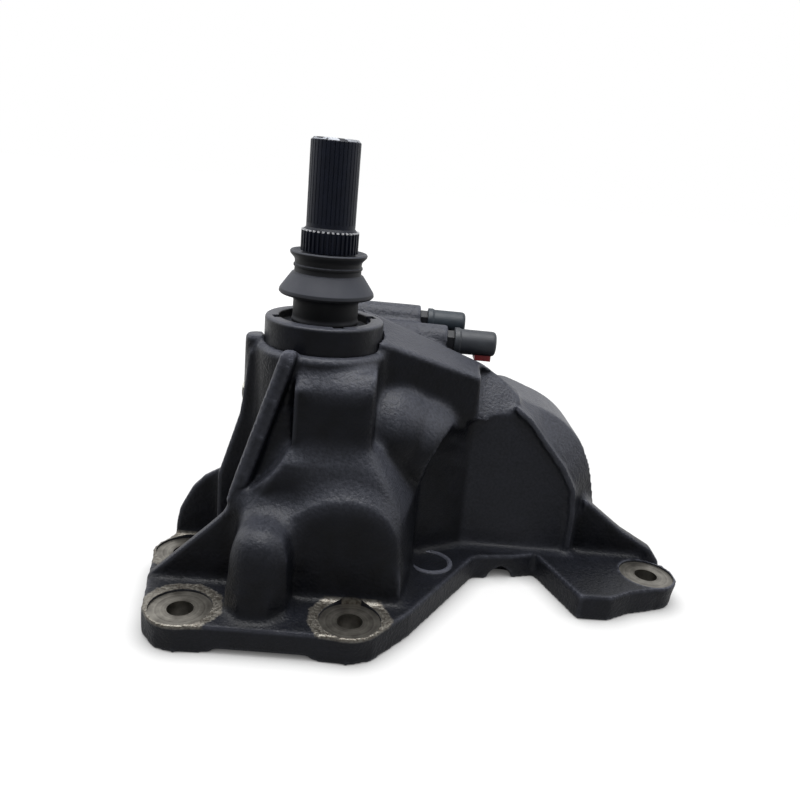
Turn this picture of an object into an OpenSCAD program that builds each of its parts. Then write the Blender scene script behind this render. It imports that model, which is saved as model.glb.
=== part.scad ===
// Steering gearbox: an integral power gear with an upright ball screw.
// The nut carries a rack, and the rack turns a toothed sector on the output shaft.
// Millimetres. X points to the ear foot, Y to the rear, Z up.
// Zero is where the input axis meets the mounting plane.

/* [Mounting] */
// Thickness of the mounting flange
flange_t = 15; // [12:0.5:18]
// Diameter of the four mounting holes
hole_d = 13; // [9:0.5:15]
// Diameter of the machined seat round each hole
seat_d = 31; // [26:0.5:33]
// Depth of the machined seats
seat_depth = 1.2; // [0.6:0.1:2]
// Front hole row, distance ahead of the input axis
front_y = 70; // [68:1:74]
// Front left hole, distance left of the input axis
front_left_x = 56; // [52:1:60]
// Front right hole, distance right of the input axis
front_right_x = 27; // [24:1:30]
// Rear left hole, distance left of the input axis
rear_left_x = 68; // [64:1:74]
// Rear left hole, distance ahead of the input axis
rear_left_y = 15; // [12:1:18]
// Ear hole, distance right of the input axis
ear_x = 197; // [190:1:204]

/* [Tower] */
// Outer radius of the tower
tower_r = 35; // [34:0.5:37]
// Depth of the top cover in the tower
skirt_len = 10; // [9:0.5:13]
// Thickness of the bottom under the bore
floor_t = 7; // [5:0.5:9]
// Radius of the piston bore
bore_r = 28; // [27.5:0.1:28.3]

/* [Ball screw] */
// Travel of the nut to each side
stroke = 17; // [14:0.5:17]
// Lead of the ball screw
worm_lead = 10.5; // [9.5:0.1:10.8]
// Diameter of the balls
ball_d = 5.5; // [5:0.1:5.8]
// Radius of the circle the ball centres run on
ball_circle_r = 10.5; // [10.3:0.1:10.8]
// Balls in the two loaded turns
ball_count = 22; // [12:1:22]

/* [Rack and sector] */
// Tooth module of rack and sector
tooth_m = 3.75; // [3.5:0.05:3.8]
// Teeth a full sector circle would have
sector_teeth = 16; // [15:1:16]
// Pressure angle of the teeth
pressure_angle = 25; // [22:1:26]
// Distance of the rack pitch plane from the input axis
rack_y = 23; // [22.5:0.1:23.3]
// Face width of the sector
sector_w = 32; // [26:1:34]
// Play between the teeth
backlash = 0.16; // [0.1:0.02:0.4]

/* [Input shaft] */
// Height of the boot above the cover's hub
boot_h = 19; // [16:0.5:24]
// Length of the spline ring above the boot
spline_len = 12; // [8:0.5:16]
// Length of the serrated end
serrated_len = 43; // [36:1:52]
// Diameter of the serrated end
pilot_d = 25; // [22:0.5:26]
// Outside diameter of the spline ring
spline_d = 29.4; // [28:0.2:32]
// Number of spline teeth
spline_teeth = 36; // [24:1:40]
// Serration grooves on the upper length
serrations = 36; // [24:1:40]

/* [Output shaft] */
// Diameter of the serrated output end
output_d = 28; // [26:0.5:29]
// Length of the serrated output end
output_len = 28; // [22:1:34]

/* [Clearances] */
// Radial running clearance of shafts and the nut
run = 0.05; // [0.03:0.01:0.08]
// Free gap between parts that move past each other
gap = 0.4; // [0.3:0.05:0.6]

/* [Hidden] */
$fn = 48;
e = 0.02;

// Ball screw layout
plug_t = 7;
end_play = 1.5;
ball_r = ball_d / 2;
piston_r = bore_r - run;
piston_len = plug_t + 2 * stroke + 1 + 2 * worm_lead + ball_d + 0.5;
piston_z = floor_t + end_play + stroke;
piston_top = piston_z + piston_len;
bore_top = piston_top + stroke + end_play;
sector_z = piston_z + piston_len / 2;
ball_top_z = piston_top - ball_r - 0.75;
ball_low_z = ball_top_z - 2 * worm_lead;
worm_r = ball_circle_r - 0.7;
groove_r = ball_r * 1.06 + 0.16;
worm_end_z = piston_z + plug_t + stroke + 1;
groove_steps = 20;
groove_sides = 10;
neck_r = 12;

// Valve and bearing stack above the bore
stack_r = bore_r + 1.4;
plate_t = 3;
race_t = 1;
roller_r = 1;
plate_z = bore_top;
lower_race_z = plate_z + plate_t;
lower_roller_z = lower_race_z + race_t;
flange_z = lower_roller_z + 2 * roller_r + 2 * e;
worm_flange_t = 4;
upper_roller_z = flange_z + worm_flange_t;
upper_race_z = upper_roller_z + 2 * roller_r + 2 * e;
skirt_z = upper_race_z + race_t;
tower_h = skirt_z + skirt_len;
worm_flange_r = bore_r - 2;
cup_r = 19;
spool_r = 13.3;
sleeve_r = 22;
roller_count = 24;

// Top cover and input shaft heights
collar_r = 31;
shoulder_z = tower_h - 5;
collar_top = tower_h + 14;
recess_floor = collar_top - 5;
valve_top = recess_floor - 3;
hub_r = 15.4;
hub_top = collar_top + 15;
journal_r = 10;
bearing_out_r = 13;
bearing_z = recess_floor;
seal_z = bearing_z + 9;
snap_z = hub_top - 3;
seat_r = 13.5;
boot_top = hub_top + boot_h;
pilot_z = boot_top + spline_len;
shaft_top = pilot_z + serrated_len;
serration_phase = 90 / serrations;
recess_r = 24;
spool_z = flange_z + worm_flange_t + 1;

// Rack and sector
sector_r = tooth_m * sector_teeth / 2;
sector_y = rack_y + sector_r;
pitch = PI * tooth_m;
tip_r = sector_r + tooth_m - 0.3;
root_r = sector_r - 1.25 * tooth_m;
base_r = sector_r * cos(pressure_angle);
chamber_r = tip_r + 2;
sector_hub_r = 19;

// Output shaft stations along X
left_journal_r = 14;
right_journal_r = 15;
cover_seat_x = -tower_r - 0.2;
cover_t = 7;
cover_hub_x = cover_seat_x - 12.3;
journal_end_x = cover_seat_x - 5.8;
gear_x = sector_w / 2;
thrust_x = gear_x + gap;
output_bearing_x = 24;
output_bearing_len = 22;
output_bearing_r = 19;
output_seal_r = 21;
seal_w = 5;
output_seal_x = output_bearing_x + output_bearing_len;
boss_end_x = 58;
spline_x = boss_end_x + 5;
stud_x = spline_x + output_len;
stud_r = 9;
stud_len = 14;
cover_r = chamber_r + 11.5;
cover_bolt_r = chamber_r + 6;
cover_bolts = 6;
gasket_t = 0.5;
bolt_reach = 6.5;
adjuster_r = 4.5;

// Feet
boss_r = seat_d / 2 + 1.8;
boss_draft = 2.5;
front_left = [-front_left_x, -front_y];
front_right = [front_right_x, -front_y];
rear_left = [-rear_left_x, -rear_left_y];
ear = [ear_x, 0];
FEET = [front_left, front_right, rear_left, ear];

// Arched bracket round the drop arm space
web_y = 19;
web_t = 7;
bracket_end_y = 80;
arm_x = 108;
bracket_z = 44;
// Front rim and outer outline of the bracket, as X and Z pairs from the foot over the arch
RIM = [[154.5, 0], [155, 36], [152.5, 57], [144, 71], [131, 86], [121, 98], [110, 106]];
bracket_x = 170;
OUTER = [[bracket_x, 0], [bracket_x, 40], [bracket_x - 5.5, 64], [bracket_x - 13, 79],
    [bracket_x - 27, 93], [127, 100.5], [110, 106.5]];
flare_y = 34;
rim_lip = 3.5;
rim_w = 4;
lip_centre = [106, 40];
// Window in the bracket's side for the socket that tightens the drop arm's nut
window_w = 38;
window_corner_r = 8;
// Half-round notch under the flange
notch_x = 113;
notch_r = 7;
// Relief under the flange between the front feet
relief_x = -38;
relief_w = 48;
relief_h = 2;
// Mouth and floor of the arched hollow in front of the web, as X and Z pairs
MOUTH = [[58, flange_t + 1], [58, 62], [61, 78], [67.5, 90], [80, 101], [88, 100.5], [94.5, 97.5],
    [104, 103], [112, 108], [176, 108], [176, flange_t + 1]];
FLOOR = [[92, flange_t + 1], [89, 62], [87, 74], [85, 84], [84, 92], [89, 95], [95, 95], [104, 100],
    [112, 104], [176, 104], [176, flange_t + 1]];

// Tower front
block_left_x = -9.5;
block_right_x = 30.5;
pillar_x = -19.5;
pillar_y = -63.5;
// Arched outline of the lower block, as X and Z pairs
KNEE = [[-14, 5], [-14, 48], [-8, 57.5], [1, 66], [11, 70.5], [22, 72], [32, 70], [40, 65], [47, 56],
    [50.5, 47], [52, 5]];

// Ports
pressure_y = 60;
pressure_z = 141;
pressure_end_x = 53;
return_y = 45;
return_z = 133.4;
return_end_x = 69;
port_boss_r = 9;
gallery_r = 4.5;
pressure_cap_r = 7.6;
return_cap_r = 8;

// Solid between two outlines of the same number of points
module loft(first, last) {
    n = len(first);
    turned = cross(first[1] - first[0], first[2] - first[0]) * (last[0] - first[0]) < 0;
    a = turned ? [for (i = [n - 1:-1:0]) first[i]] : first;
    b = turned ? [for (i = [n - 1:-1:0]) last[i]] : last;
    caps_a = [for (i = [1:n - 2]) [0, i, i + 1]];
    caps_b = [for (i = [1:n - 2]) [n, n + i + 1, n + i]];
    sides = [for (i = [0:n - 1], k = [0:1])
        k == 0 ? [i, n + i, (i + 1) % n] : [(i + 1) % n, n + i, n + (i + 1) % n]];
    polyhedron(points = concat(a, b), faces = concat(caps_a, caps_b, sides));
}

// Cylinder along X from one station to another
module along_x(x0, x1, r, y = 0, z = 0) {
    translate([x0, y, z]) rotate([0, 90, 0]) cylinder(h = x1 - x0, r = r);
}

// Cylinder along Y from one station to another
module along_y(y0, y1, r, x = 0, z = 0) {
    translate([x, y0, z]) rotate([-90, 0, 0]) cylinder(h = y1 - y0, r = r);
}

// Ring round Z
module ring_z(z0, z1, r_out, r_in) {
    translate([0, 0, z0]) difference() {
        cylinder(h = z1 - z0, r = r_out);
        translate([0, 0, -1]) cylinder(h = z1 - z0 + 2, r = r_in);
    }
}

// Ring round the sector axis
module ring_x(x0, x1, r_out, r_in) {
    difference() {
        along_x(x0, x1, r_out, sector_y, sector_z);
        along_x(x0 - 1, x1 + 1, r_in, sector_y, sector_z);
    }
}

// Outline in X and Z pushed out along Y
module wall_xz(points, y0, y1) {
    translate([0, y1, 0]) rotate([90, 0, 0]) linear_extrude(y1 - y0) polygon(points);
}

// Outline in Y and Z pushed out along X
module wall_yz(points, x0, x1) {
    translate([x0, 0, 0]) rotate([90, 0, 90]) linear_extrude(x1 - x0) polygon(points);
}

// Helical tube that the balls run in, from one height to another
module helix(z0, z1) {
    turns = (z1 - z0) / worm_lead;
    rings = ceil(turns * groove_steps);
    n = groove_sides;
    start = 180 + 360 * (z0 - ball_low_z) / worm_lead;
    points = [for (i = [0:rings], k = [0:n - 1])
        let (turn = start + 360 * turns * i / rings,
            r = ball_circle_r + groove_r * cos(360 * k / n),
            z = z0 + (z1 - z0) * i / rings - groove_r * sin(360 * k / n))
        [r * cos(turn), r * sin(turn), z]];
    low = [[for (k = [0:n - 1]) k]];
    high = [[for (k = [n - 1:-1:0]) rings * n + k]];
    skin = [for (i = [0:rings - 1], k = [0:n - 1], t = [0:1])
        t == 0 ? [i * n + k, (i + 1) * n + k, i * n + (k + 1) % n]
               : [i * n + (k + 1) % n, (i + 1) * n + k, (i + 1) * n + (k + 1) % n]];
    polyhedron(points = points, faces = concat(low, high, skin));
}

// Plan of the flange between its feet
module flange_plan() {
    polygon([[-front_left_x - 18, -front_y - 4], [-front_left_x - 9, -front_y - 14],
        [-front_left_x, -front_y - 16.5], [-front_left_x + 14, -front_y - 15],
        [front_right_x - 14, -front_y - 15], [front_right_x, -front_y - 16.5],
        [front_right_x + 12, -front_y - 12], [front_right_x + 30, -front_y + 10], [96, 4], [119, 8],
        [134, 13], [ear_x - 46, -31],
        [ear_x - 28, -30], [ear_x - 15, -22], [ear_x, -17], [ear_x + 15, 12], [bracket_x + 2, 26],
        [bracket_x + 2, 40], [60, 26], [50, 92], [-34, 92], [-36, 40], [-60, 12],
        [-rear_left_x - 12, 15 - rear_left_y], [-rear_left_x - 17, -rear_left_y]]);
    translate([bracket_x - 18, 30]) square([18, bracket_end_y - 30]);
}

// Level outline of a ledge on the tower front
function ledge(z, left, right, front) =
    [[left, front, z], [left - 6, 0, z], [right + 8, 0, z], [right, front, z]];

// Level outline of the front left pillar, a square with blunt corners
function pillar(z, half) = let (blunt = half * 0.45)
    [for (c = [[-half, -blunt], [-blunt, -half], [blunt, -half], [half, -blunt], [half, blunt],
        [blunt, half], [-blunt, half], [-half, blunt]]) [pillar_x + c[0], pillar_y + c[1], z]];

// Cast tower with the stepped front and the ribs
module tower_cast() {
    cylinder(h = tower_h - 2, r = tower_r);
    translate([0, 0, tower_h - 2 - e]) cylinder(h = 2 + e, r1 = tower_r, r2 = tower_r - 1.5);
    // Upright lug at the left
    translate([-34, -4, 40]) cylinder(h = tower_h + 3 - 40, r = 6.5);
    // Left flank running out to the buttress
    wall_xz([[-52, 10], [-52, 60], [-46, 80], [-41, 97], [-37, shoulder_z], [-20, shoulder_z],
        [-20, 10]], -12, 12);
    wall_xz([[-78, 10], [-78, 20], [-76, 31], [-69, 45], [-62, 53], [-52, 59], [-30, 62], [-30, 10]],
        2, 26);
    // Stepped front: upper block, sloping ledges and the arched lower block
    wall_yz([[-30, shoulder_z - 1], [-34, shoulder_z - 2], [-41, shoulder_z - 9.5], [-41, 89], [0, 89],
        [0, shoulder_z - 1]], block_left_x, block_right_x);
    loft(ledge(90, -11, 32, -41.5), ledge(84, -14, 35, -45.5));
    loft(ledge(84, -14, 35, -45.5), ledge(76, -19, 40, -46.5));
    loft(ledge(76, -19, 40, -46.5), ledge(58, -27, 50, -47.5));
    loft(ledge(58, -27, 50, -47.5), ledge(5, -28, 54, -49));
    wall_xz(KNEE, -54.5, -30);
    // Pillar at the front left
    loft(pillar(5, 15.8), pillar(45, 14.6));
    loft(pillar(45, 14.6), pillar(55, 12));
    loft(pillar(55, 12), pillar(59.5, 7.5));
    wall_yz([[-63, 5], [-63, 50], [-52, 59], [-40, 68], [-40, 5]], -32, -6);
    // Web down to the front left foot
    wall_xz([[-81, 8], [-80, 15], [-49, 46], [-34, 62], [-20, 76], [0, 76], [0, 8]], -45, -38.6);
    // Slanting rib on the left front
    rib_z = tower_h + 2;
    loft([[-23, -33, 108], [-9, -33, 108], [-9, 0, 108], [-23, 0, 108]],
        [[-38, -38, 56], [-20, -38, 56], [-20, 0, 56], [-38, 0, 56]]);
    loft([[-16, -38, rib_z], [-11, -39, rib_z], [-8, -15, rib_z], [-13, -15, rib_z]],
        [[-40, -43.8, 60], [-35, -44.6, 60], [-24, -12, 60], [-29, -12, 60]]);
}

// Shoulder from the tower to the bracket, with the port bosses behind it
module shoulder_cast() {
    loft([[18, -16, 60], [18, 44, 60], [18, 44, 147], [18, 16, 154], [18, -16, 146]],
        [[90, 12, 60], [90, 48, 60], [90, 48, 117], [90, 33, 124.5], [90, 12, 120.5]]);
    loft([[90, 12, 80], [90, 48, 80], [90, 48, 117], [90, 33, 124.5], [90, 12, 120.5]],
        [[114, 18, 80], [114, 48, 80], [114, 48, 106], [114, 36, 109], [114, 18, 106]]);
    // Rounded mass under the shoulder
    translate([50, 11, 30]) cylinder(h = 53, r1 = 14, r2 = 30);
    translate([50, 11, 83]) sphere(r = 30);
    translate([38, 3, 91]) sphere(r = 27);
    // Slanting wall from the tower back to the web
    translate([0, 0, 5]) linear_extrude(72)
        polygon([[46, -16], [58, -2], [94, web_y], [94, 25], [46, 25]]);
    // Port block
    translate([0, 18, 90]) cube([50, pressure_y + 2 - 18, 50]);
    along_x(0, pressure_end_x, port_boss_r, pressure_y, pressure_z);
    along_x(0, return_end_x, port_boss_r, return_y, return_z);
}

// Arched bracket, still solid
module bracket_cast() {
    front = [for (p = RIM) [p[0], web_y, p[1]]];
    rear = [for (p = OUTER) [p[0], flare_y, p[1]]];
    loft(concat([[56, web_y, 106], [56, web_y, 0]], front),
        concat([[56, flare_y, 106], [56, flare_y, 0]], rear));
    wall_xz(concat([[56, 106], [56, 0]], OUTER), flare_y - e, bracket_end_y);
    // Web down to the ear
    wall_xz([[bracket_x - 10, 0], [bracket_x - 10, 50], [ear_x - 11, 31], [ear_x + 9, 20],
        [ear_x + 15, 12], [ear_x + 15, 0]], 20, 29);
}

// Raised lip along the front rim of the bracket
module rim_cast() {
    rim = [for (p = RIM) [p[0], max(p[1], flange_t - 1)]];
    inner = [for (i = [len(rim) - 1:-1:0])
        rim[i] + rim_w * (lip_centre - rim[i]) / norm(lip_centre - rim[i])];
    wall_xz(concat(rim, inner), web_y - rim_lip, web_y + 1);
}

// Room for the drop arm inside the bracket, open at the rear and below
module arm_space() {
    front = web_y + web_t;
    along_y(front, flare_y + 1, 46, arm_x, bracket_z);
    along_y(flare_y, bracket_end_y + 1, 52, arm_x, bracket_z);
    translate([boss_end_x, front, -1]) cube([arm_x - boss_end_x, 90, bracket_z + 50]);
    translate([arm_x - 1, front, -1]) cube([47, 90, bracket_z + 1]);
    translate([arm_x - 1, flare_y, -1]) cube([53, 90, bracket_z + 1]);
}

// Sector chamber behind the tower
module chamber_cast() {
    along_x(cover_seat_x, 22, chamber_r + 12, sector_y, sector_z);
    along_x(0, boss_end_x, 27, sector_y, sector_z);
    translate([-34, 0, 0]) cube([80, 90, sector_z]);
}

// Window in the bracket's side, in line with the output shaft
module socket_window() {
    reach = window_w / 2 - window_corner_r;
    hull() for (y = [-reach, reach], z = [-reach, reach])
        along_x(bracket_x - 30, bracket_x + 10, window_corner_r, sector_y + y, sector_z + z);
}

module housing() {
    color("DimGray") union() {
        rim_cast();
        difference() {
            union() {
                linear_extrude(flange_t) flange_plan();
                for (p = FEET) translate([p[0], p[1], 0])
                    cylinder(h = flange_t, r1 = boss_r - boss_draft, r2 = boss_r);
                tower_cast();
                shoulder_cast();
                bracket_cast();
                chamber_cast();
                // Blank cast roundel on the flange
                translate([69, -8, flange_t - 1]) cylinder(h = 2, r = 12.5);
            }
            translate([69, -8, flange_t]) cylinder(h = 3, r = 10.5);
            // Sloping pad at the end of the shoulder
            translate([88, 26, 108]) rotate([53, 0, 0]) translate([0, -16, 0]) cube([27, 30, 40]);
            // Arched hollow in front of the web, with a slanting side
            wall_xz(MOUTH, -70, e);
            loft([for (p = MOUTH) [p[0], 0, p[1]]], [for (p = FLOOR) [p[0], web_y, p[1]]]);
            arm_space();
            socket_window();
            along_y(-10, web_y - 2, notch_r, notch_x, 0);
            // Bore, stack seat and sector chamber
            translate([0, 0, floor_t]) cylinder(h = tower_h, r = bore_r);
            translate([0, 0, bore_top]) cylinder(h = tower_h, r = stack_r);
            translate([0, 0, tower_h]) cylinder(h = collar_top, r = collar_r + gap);
            along_x(cover_seat_x - 1, thrust_x + 1, chamber_r, sector_y, sector_z);
            along_x(0, output_seal_x + 1, output_bearing_r, sector_y, sector_z);
            along_x(output_seal_x, boss_end_x + 1, output_seal_r, sector_y, sector_z);
            // Room for the side cover
            along_x(-90, cover_seat_x, cover_r + gap, sector_y, sector_z);
            for (a = [0:360 / cover_bolts:359])
                along_x(cover_seat_x - 1, cover_seat_x + bolt_reach + 0.5, 3.4,
                    sector_y + cover_bolt_r * cos(a), sector_z + cover_bolt_r * sin(a));
            // Port galleries
            along_x(stack_r - 10, pressure_end_x + 1, gallery_r, pressure_y, pressure_z);
            along_x(stack_r - 10, return_end_x + 1, gallery_r, return_y, return_z);
            // Relief under the flange between the front feet
            translate([relief_x, -front_y - 30, -1]) cube([relief_w, 60, 1 + relief_h]);
            // Mounting holes with their seats
            for (p = FEET) translate([p[0], p[1], 0]) {
                translate([0, 0, -1]) cylinder(h = 40, d = hole_d);
                translate([0, 0, flange_t - seat_depth]) cylinder(h = 14, d = seat_d);
            }
        }
    }
}

module top_cover() {
    color("SlateGray") difference() {
        union() {
            ring_z(skirt_z, tower_h + e, stack_r - run, sleeve_r + 0.1);
            ring_z(tower_h, recess_floor, collar_r, sleeve_r + 0.1);
            ring_z(valve_top, recess_floor, collar_r - 1, journal_r + 1);
            ring_z(recess_floor - e, collar_top, collar_r, recess_r);
            ring_z(recess_floor - e, hub_top, hub_r, journal_r + 1);
        }
        // Seal and bearing seats
        translate([0, 0, bearing_z]) cylinder(h = 60, r = bearing_out_r);
        // Ring groove for the O ring
        ring_z(tower_h - 6, tower_h - 3, stack_r + 1, stack_r - 2);
        // Snap ring groove
        ring_z(snap_z, snap_z + 1.6, bearing_out_r + 0.9, bearing_out_r - 1);
        // Spanner notches
        for (a = [20:90:380]) rotate([0, 0, a]) translate([recess_r - 1, -3, collar_top - 3.2])
            cube([4.5, 6, 5]);
    }
}

module cover_o_ring() {
    color("Black") ring_z(tower_h - 5.8, tower_h - 3.2, stack_r - e, stack_r - 1.9);
}

module bearing_plate() {
    color("Silver") ring_z(plate_z, plate_z + plate_t, stack_r - run, neck_r + gap);
}

module race(z) {
    color("Silver") ring_z(z, z + race_t, worm_flange_r - 0.5, cup_r + 0.4);
}

module rollers(z) {
    color("Gainsboro") for (a = [0:360 / roller_count:359])
        rotate([0, 0, a]) translate([cup_r + 1, 0, z + roller_r + e]) rotate([0, 90, 0])
            cylinder(h = worm_flange_r - cup_r - 2, r = roller_r);
}

module lower_race() { race(lower_race_z); }

module upper_race() { race(upper_race_z); }

module lower_rollers() { rollers(lower_roller_z); }

module upper_rollers() { rollers(upper_roller_z); }

module input_bearing() {
    color("Silver") ring_z(bearing_z, bearing_z + 8, bearing_out_r, journal_r + run);
}

module input_seal() {
    color("Black") ring_z(seal_z, seal_z + 6.5, bearing_out_r, journal_r + run);
}

module snap_ring() {
    color("DarkSlateGray") difference() {
        ring_z(snap_z + 0.1, snap_z + 1.5, bearing_out_r + 0.8, bearing_out_r - 1.2);
        translate([-2, -20, snap_z - 1]) cube([4, 20, 4]);
    }
}

module side_cover() {
    color("DimGray") difference() {
        union() {
            along_x(cover_seat_x - gasket_t - cover_t, cover_seat_x - gasket_t, cover_r,
                sector_y, sector_z);
            along_x(cover_hub_x, cover_seat_x, 20, sector_y, sector_z);
            along_x(cover_seat_x - 1, -21, 20, sector_y, sector_z);
        }
        along_x(journal_end_x - 2, 0, left_journal_r + 2, sector_y, sector_z);
        along_x(cover_hub_x - 1, 0, adjuster_r, sector_y, sector_z);
        for (a = [0:360 / cover_bolts:359])
            along_x(cover_seat_x - 20, cover_seat_x + 1, 4.2,
                sector_y + cover_bolt_r * cos(a), sector_z + cover_bolt_r * sin(a));
    }
}

module side_gasket() {
    color("DarkKhaki") difference() {
        ring_x(cover_seat_x - gasket_t, cover_seat_x, cover_r, chamber_r);
        for (a = [0:360 / cover_bolts:359])
            along_x(cover_seat_x - 2, cover_seat_x + 1, 4.2,
                sector_y + cover_bolt_r * cos(a), sector_z + cover_bolt_r * sin(a));
    }
}

module side_bolts() {
    head_x = cover_seat_x - gasket_t - cover_t;
    color("Silver") for (a = [0:360 / cover_bolts:359])
        translate([0, sector_y + cover_bolt_r * cos(a), sector_z + cover_bolt_r * sin(a)]) {
            along_x(head_x - e, cover_seat_x + bolt_reach, 3.4 - e);
            translate([head_x - 4.5, 0, 0]) rotate([0, 90, 0]) cylinder(h = 4.5, r = 6, $fn = 6);
        }
}

module cover_bush() {
    color("Peru") ring_x(journal_end_x + 2, -21.5, left_journal_r + 2, left_journal_r + run);
}

module adjuster_screw() {
    color("Silver") {
        along_x(cover_hub_x - 4.5, journal_end_x + 1 + e, adjuster_r - e, sector_y, sector_z);
        along_x(journal_end_x + 1, journal_end_x + 4, 7, sector_y, sector_z);
    }
}

module adjuster_nut() {
    color("Silver") difference() {
        translate([cover_hub_x - 3.5, sector_y, sector_z]) rotate([0, 90, 0])
            cylinder(h = 3.5, r = 8.5, $fn = 6);
        along_x(cover_hub_x - 5, cover_hub_x + 1, adjuster_r, sector_y, sector_z);
    }
}

module output_bearing() {
    color("Silver") ring_x(output_bearing_x, output_seal_x, output_bearing_r, right_journal_r + run);
}

module output_seal() {
    color("Black") ring_x(output_seal_x + 1, output_seal_x + 1 + seal_w,
        output_seal_r, right_journal_r + run);
}

module output_dust_seal() {
    color("Black") ring_x(boss_end_x - seal_w, boss_end_x - 0.5,
        output_seal_r, right_journal_r + run);
}

// Tube fitting screwed into a port boss
module fitting(x, y, z) {
    color("Silver") difference() {
        union() {
            along_x(x - 10, x + 3, gallery_r - e, y, z);
            translate([x, y, z]) rotate([0, 90, 0]) cylinder(h = 4, r = 6, $fn = 6);
            along_x(x + 3, x + 12, 4, y, z);
        }
        along_x(x - 11, x + 13, 2.2, y, z);
    }
}

module pressure_fitting() { fitting(pressure_end_x, pressure_y, pressure_z); }

module return_fitting() { fitting(return_end_x, return_y, return_z); }

module pressure_cap() {
    color("DarkSlateBlue") difference() {
        along_x(pressure_end_x + 4.2, pressure_end_x + 27, pressure_cap_r, pressure_y, pressure_z);
        along_x(pressure_end_x + 4, pressure_end_x + 12.5, 4, pressure_y, pressure_z);
    }
}

module return_cap() {
    color("LightSlateGray") difference() {
        along_x(return_end_x + 4.2, return_end_x + 29, return_cap_r, return_y, return_z);
        along_x(return_end_x + 4, return_end_x + 12.5, 4, return_y, return_z);
    }
}

// Red tear tab under the cap
module return_cap_tab() {
    color("Crimson") difference() {
        translate([return_end_x + 17, return_y - 5, return_z - return_cap_r - 1.6]) cube([9.5, 10, 5]);
        along_x(return_end_x, return_end_x + 40, return_cap_r, return_y, return_z);
    }
}

module worm_shaft() {
    color("Silver") difference() {
        union() {
            difference() {
                translate([0, 0, worm_end_z]) cylinder(h = bore_top - 1 - worm_end_z, r = worm_r);
                helix(worm_end_z - worm_lead / 2, bore_top - 2);
            }
            ring_z(bore_top - 1, flange_z + 1, neck_r, 4.2);
            ring_z(flange_z, flange_z + worm_flange_t, worm_flange_r, 4.2);
            ring_z(flange_z + worm_flange_t - e, valve_top - 1, cup_r, spool_r + run);
        }
        // Torsion bar bore and pin hole
        translate([0, 0, bore_top - 8]) cylinder(h = 30, r = 4.2);
        along_x(-neck_r - 1, neck_r + 1, 1.5, 0, bore_top + 2);
    }
}

module valve_sleeve() {
    color("DarkGray") difference() {
        ring_z(skirt_z + 0.5, valve_top - 1.5, sleeve_r, cup_r + e);
        for (k = [0:2]) ring_z(skirt_z + 3 + 4 * k, skirt_z + 5 + 4 * k, sleeve_r + 1, sleeve_r - 1.2);
    }
}

module sleeve_rings() {
    color("Ivory") for (k = [0:2])
        ring_z(skirt_z + 3.1 + 4 * k, skirt_z + 4.9 + 4 * k, sleeve_r + run, sleeve_r - 1.1);
}

module torsion_bar() {
    color("Silver") difference() {
        union() {
            translate([0, 0, bore_top - 7]) cylinder(h = 14, r = 4.2 - e);
            translate([0, 0, bore_top + 6]) cylinder(h = boot_top - 20 - bore_top, r = 3);
            translate([0, 0, boot_top - 16]) cylinder(h = 14, r = 4.2 - e);
        }
        along_x(-6, 6, 1.5, 0, bore_top + 2);
        along_x(-6, 6, 1.5, 0, boot_top - 7);
    }
}

module worm_pin() { color("Silver") along_x(-neck_r + 0.5, neck_r - 0.5, 1.5 - e, 0, bore_top + 2); }

// Toothed outline of the input spline
module spline_plan() {
    r = spline_d / 2;
    step = 360 / spline_teeth;
    circle(r = r - 1.1);
    for (i = [0:spline_teeth - 1]) rotate(i * step)
        polygon([[r - 2, -0.85], [r, -0.45], [r, 0.45], [r - 2, 0.85]]);
}

module input_shaft() {
    color("DimGray") difference() {
        union() {
            translate([0, 0, spool_z]) cylinder(h = valve_top - 1 - spool_z, r = spool_r);
            translate([0, 0, valve_top - 2]) cylinder(h = hub_top + 1 - valve_top + 2, r = journal_r);
            translate([0, 0, hub_top + 1]) cylinder(h = boot_top - hub_top - 1, r = seat_r);
            translate([0, 0, boot_top - e]) linear_extrude(pilot_z - 1.2 - boot_top + e) spline_plan();
            translate([0, 0, pilot_z - 1.2]) cylinder(h = 1.2, r1 = spline_d / 2 - 1.2, r2 = pilot_d / 2);
            translate([0, 0, pilot_z - e]) cylinder(h = shaft_top - 1.5 - pilot_z + e, d = pilot_d);
            translate([0, 0, shaft_top - 1.5]) cylinder(h = 1.5, d1 = pilot_d, d2 = pilot_d - 3);
        }
        // Torsion bar bore, pin hole and spool slots
        translate([0, 0, spool_z - 1]) cylinder(h = boot_top - 1 - spool_z, r = 4.2);
        along_x(-20, 20, 1.5, 0, boot_top - 7);
        for (a = [0:60:359]) rotate([0, 0, a])
            translate([spool_r - 1, -1.5, spool_z + 2]) cube([3, 3, valve_top - 5 - spool_z]);
        // Serrations
        for (i = [0:serrations - 1]) rotate([0, 0, 360 * i / serrations + serration_phase])
            translate([pilot_d / 2, 0, pilot_z + 2]) rotate([0, 0, 45])
                translate([-0.22, -0.22, 0]) cube([0.44, 0.44, shaft_top - pilot_z]);
        translate([0, 0, shaft_top - 3]) cylinder(h = 4, r1 = 0.5, r2 = 3);
    }
}

module torsion_pin() { color("Silver") along_x(-seat_r + 0.5, seat_r - 0.5, 1.5 - e, 0, boot_top - 7); }

module dust_boot() {
    low = collar_top - 3;
    color("DarkSlateGray") rotate_extrude() polygon([
        [hub_r + gap, low], [17.3, low], [17.6, low + 1.5], [17.0, low + 3], [17.4, collar_top + 10],
        [19, collar_top + 12.6], [24.4, collar_top + 13.4], [24.9, collar_top + 14.6],
        [23.6, collar_top + 17], [19.5, collar_top + 21.5], [18.2, collar_top + 24.5],
        [18.3, boot_top - 5], [19.6, boot_top - 3.5], [19.8, boot_top - 1.5], [18.6, boot_top],
        [seat_r + 2, boot_top], [seat_r + e, boot_top - 0.8], [seat_r + e, hub_top + 3.5],
        [hub_r + gap, hub_top + 1.5]]);
}

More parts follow.
